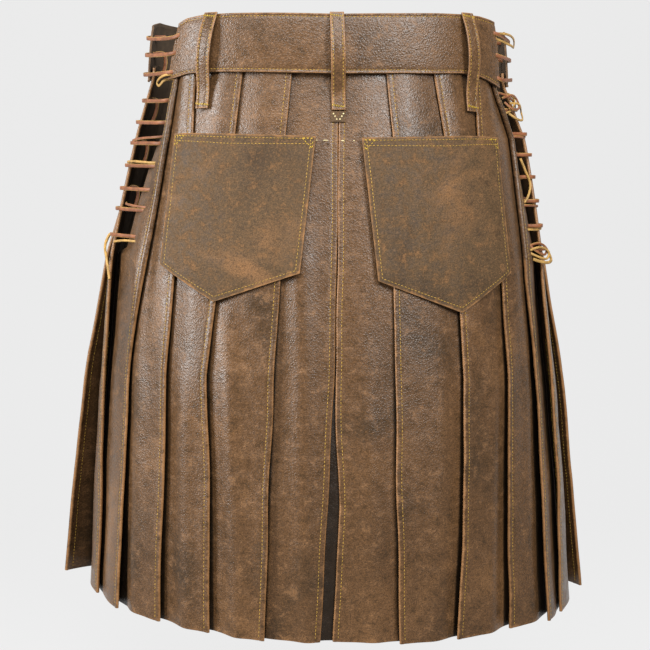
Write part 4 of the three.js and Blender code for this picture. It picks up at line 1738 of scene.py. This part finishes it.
class KILT_OT_stage(bpy.types.Operator):
    """Set the camera, the soft studio light and the pale floor."""

    bl_idname = "kilt.stage"
    bl_label = "Camera and stage"

    def execute(self, context):
        self.set_camera(context.scene)
        self.set_floor(context.scene)
        self.set_lights(context.scene)
        return {"FINISHED"}

    def set_camera(self, scene):
        data = bpy.data.cameras.new("camera")
        data.lens = CAMERA_LENS
        data.sensor_width = 36
        data.clip_end = 50
        camera = bpy.data.objects.new("camera", data)
        scene.collection.objects.link(camera)
        sine, cosine = math.sin(CAMERA_TURN), math.cos(CAMERA_TURN)
        near, fall = math.cos(CAMERA_PITCH), math.sin(CAMERA_PITCH)
        forward = Vector((sine * near, cosine * near, -fall))
        level = Vector((cosine, -sine, 0))
        raised = level.cross(forward)
        right = level * math.cos(CAMERA_ROLL) + raised * math.sin(CAMERA_ROLL)
        up = raised * math.cos(CAMERA_ROLL) - level * math.sin(CAMERA_ROLL)
        where = Vector((-CAMERA_DISTANCE * sine, -CAMERA_DISTANCE * cosine, CAMERA_HEIGHT))
        turn = Matrix((right, up, -forward)).transposed().to_4x4()
        camera.matrix_world = Matrix.Translation(where) @ turn
        scene.camera = camera

    def set_floor(self, scene):
        bm = bmesh.new()
        bmesh.ops.create_grid(bm, x_segments=8, y_segments=40, size=1)
        for vert in bm.verts:
            along = (vert.co.y + 1) / 2 * FLOOR_LENGTH
            turn = min(max(along - FLOOR_FLAT, 0) / FLOOR_BEND, math.pi / 2)
            y = FLOOR_FRONT + min(along, FLOOR_FLAT) + FLOOR_BEND * math.sin(turn)
            wall = max(0, along - FLOOR_FLAT - FLOOR_BEND * math.pi / 2)
            z = FLOOR_LEVEL + FLOOR_BEND * (1 - math.cos(turn)) + wall
            vert.co = (vert.co.x * FLOOR_WIDTH / 2, y, z)
        for face in bm.faces:
            face.smooth = True
        mesh = bpy.data.meshes.new("floor")
        bm.to_mesh(mesh)
        bm.free()
        floor = bpy.data.objects.new("floor", mesh)
        scene.collection.objects.link(floor)
        material, tree, shader = start_material("pale floor")
        shader.inputs["Base Color"].default_value = (0.14, 0.14, 0.14, 1)
        shader.inputs["Roughness"].default_value = 0.95
        shader.inputs["Specular IOR Level"].default_value = 0.0
        where = add_node(tree, "ShaderNodeTexCoord").outputs["Object"]
        depth = add_node(tree, "ShaderNodeSeparateXYZ", Vector=where).outputs["Y"]
        glow = between(tree, depth, -0.2, 0.7, 0.17, 0.72)
        tree.links.new(grey(tree, glow), shader.inputs["Emission Color"])
        shader.inputs["Emission Strength"].default_value = 1.0
        mesh.materials.append(material)

    def set_lights(self, scene):
        world = bpy.data.worlds.new("studio")
        world.use_nodes = True
        air = world.node_tree.nodes["Background"].inputs
        air["Color"].default_value = (0.84, 0.84, 0.84, 1)
        air["Strength"].default_value = 0.22
        scene.world = world
        scene.view_settings.view_transform = "Standard"
        for name, where, aim, size, power in LAMPS:
            data = bpy.data.lights.new(name, "AREA")
            data.shape = "RECTANGLE"
            data.size = size
            data.size_y = size * 1.4
            data.energy = power
            lamp = bpy.data.objects.new(name, data)
            scene.collection.objects.link(lamp)
            towards = (Vector((0, 0, aim)) - Vector(where)).normalized()
            turn = towards.to_track_quat("-Z", "Y").to_matrix().to_4x4()
            lamp.matrix_world = Matrix.Translation(where) @ turn


class KILT_PT_panel(bpy.types.Panel):
    """Settings and steps of the kilt."""

    bl_idname = "KILT_PT_panel"
    bl_label = "Leather kilt"
    bl_space_type = "VIEW_3D"
    bl_region_type = "UI"
    bl_category = "Kilt"

    def draw(self, context):
        layout = self.layout
        for group in (context.scene.kilt_sizes, context.scene.kilt_colours):
            for name in group.bl_rna.properties.keys():
                if name not in ("rna_type", "name"):
                    layout.prop(group, name)
        for step in STEPS:
            layout.operator(step.bl_idname)


STEPS = (
    KILT_OT_stage,
    KILT_OT_lace_ends,
    KILT_OT_laces,
    KILT_OT_pleats,
    KILT_OT_fold_sewing,
    KILT_OT_apron,
    KILT_OT_waistband,
    KILT_OT_pockets,
    KILT_OT_belt_loops,
)
CLASSES = (KiltColours, KiltSizes, *STEPS, KILT_PT_panel)


def register():
    for made in CLASSES:
        bpy.utils.register_class(made)
    bpy.types.Scene.kilt_colours = bpy.props.PointerProperty(type=KiltColours)
    bpy.types.Scene.kilt_sizes = bpy.props.PointerProperty(type=KiltSizes)


def unregister():
    del bpy.types.Scene.kilt_sizes
    del bpy.types.Scene.kilt_colours
    for made in reversed(CLASSES):
        bpy.utils.unregister_class(made)


def main():
    register()
    bpy.ops.kilt.stage()
    bpy.ops.kilt.lace_ends()
    bpy.ops.kilt.laces()
    bpy.ops.kilt.pleats()
    bpy.ops.kilt.fold_sewing()
    bpy.ops.kilt.apron()
    bpy.ops.kilt.waistband()
    bpy.ops.kilt.pockets()
    bpy.ops.kilt.belt_loops()


if __name__ == "__main__":
    main()
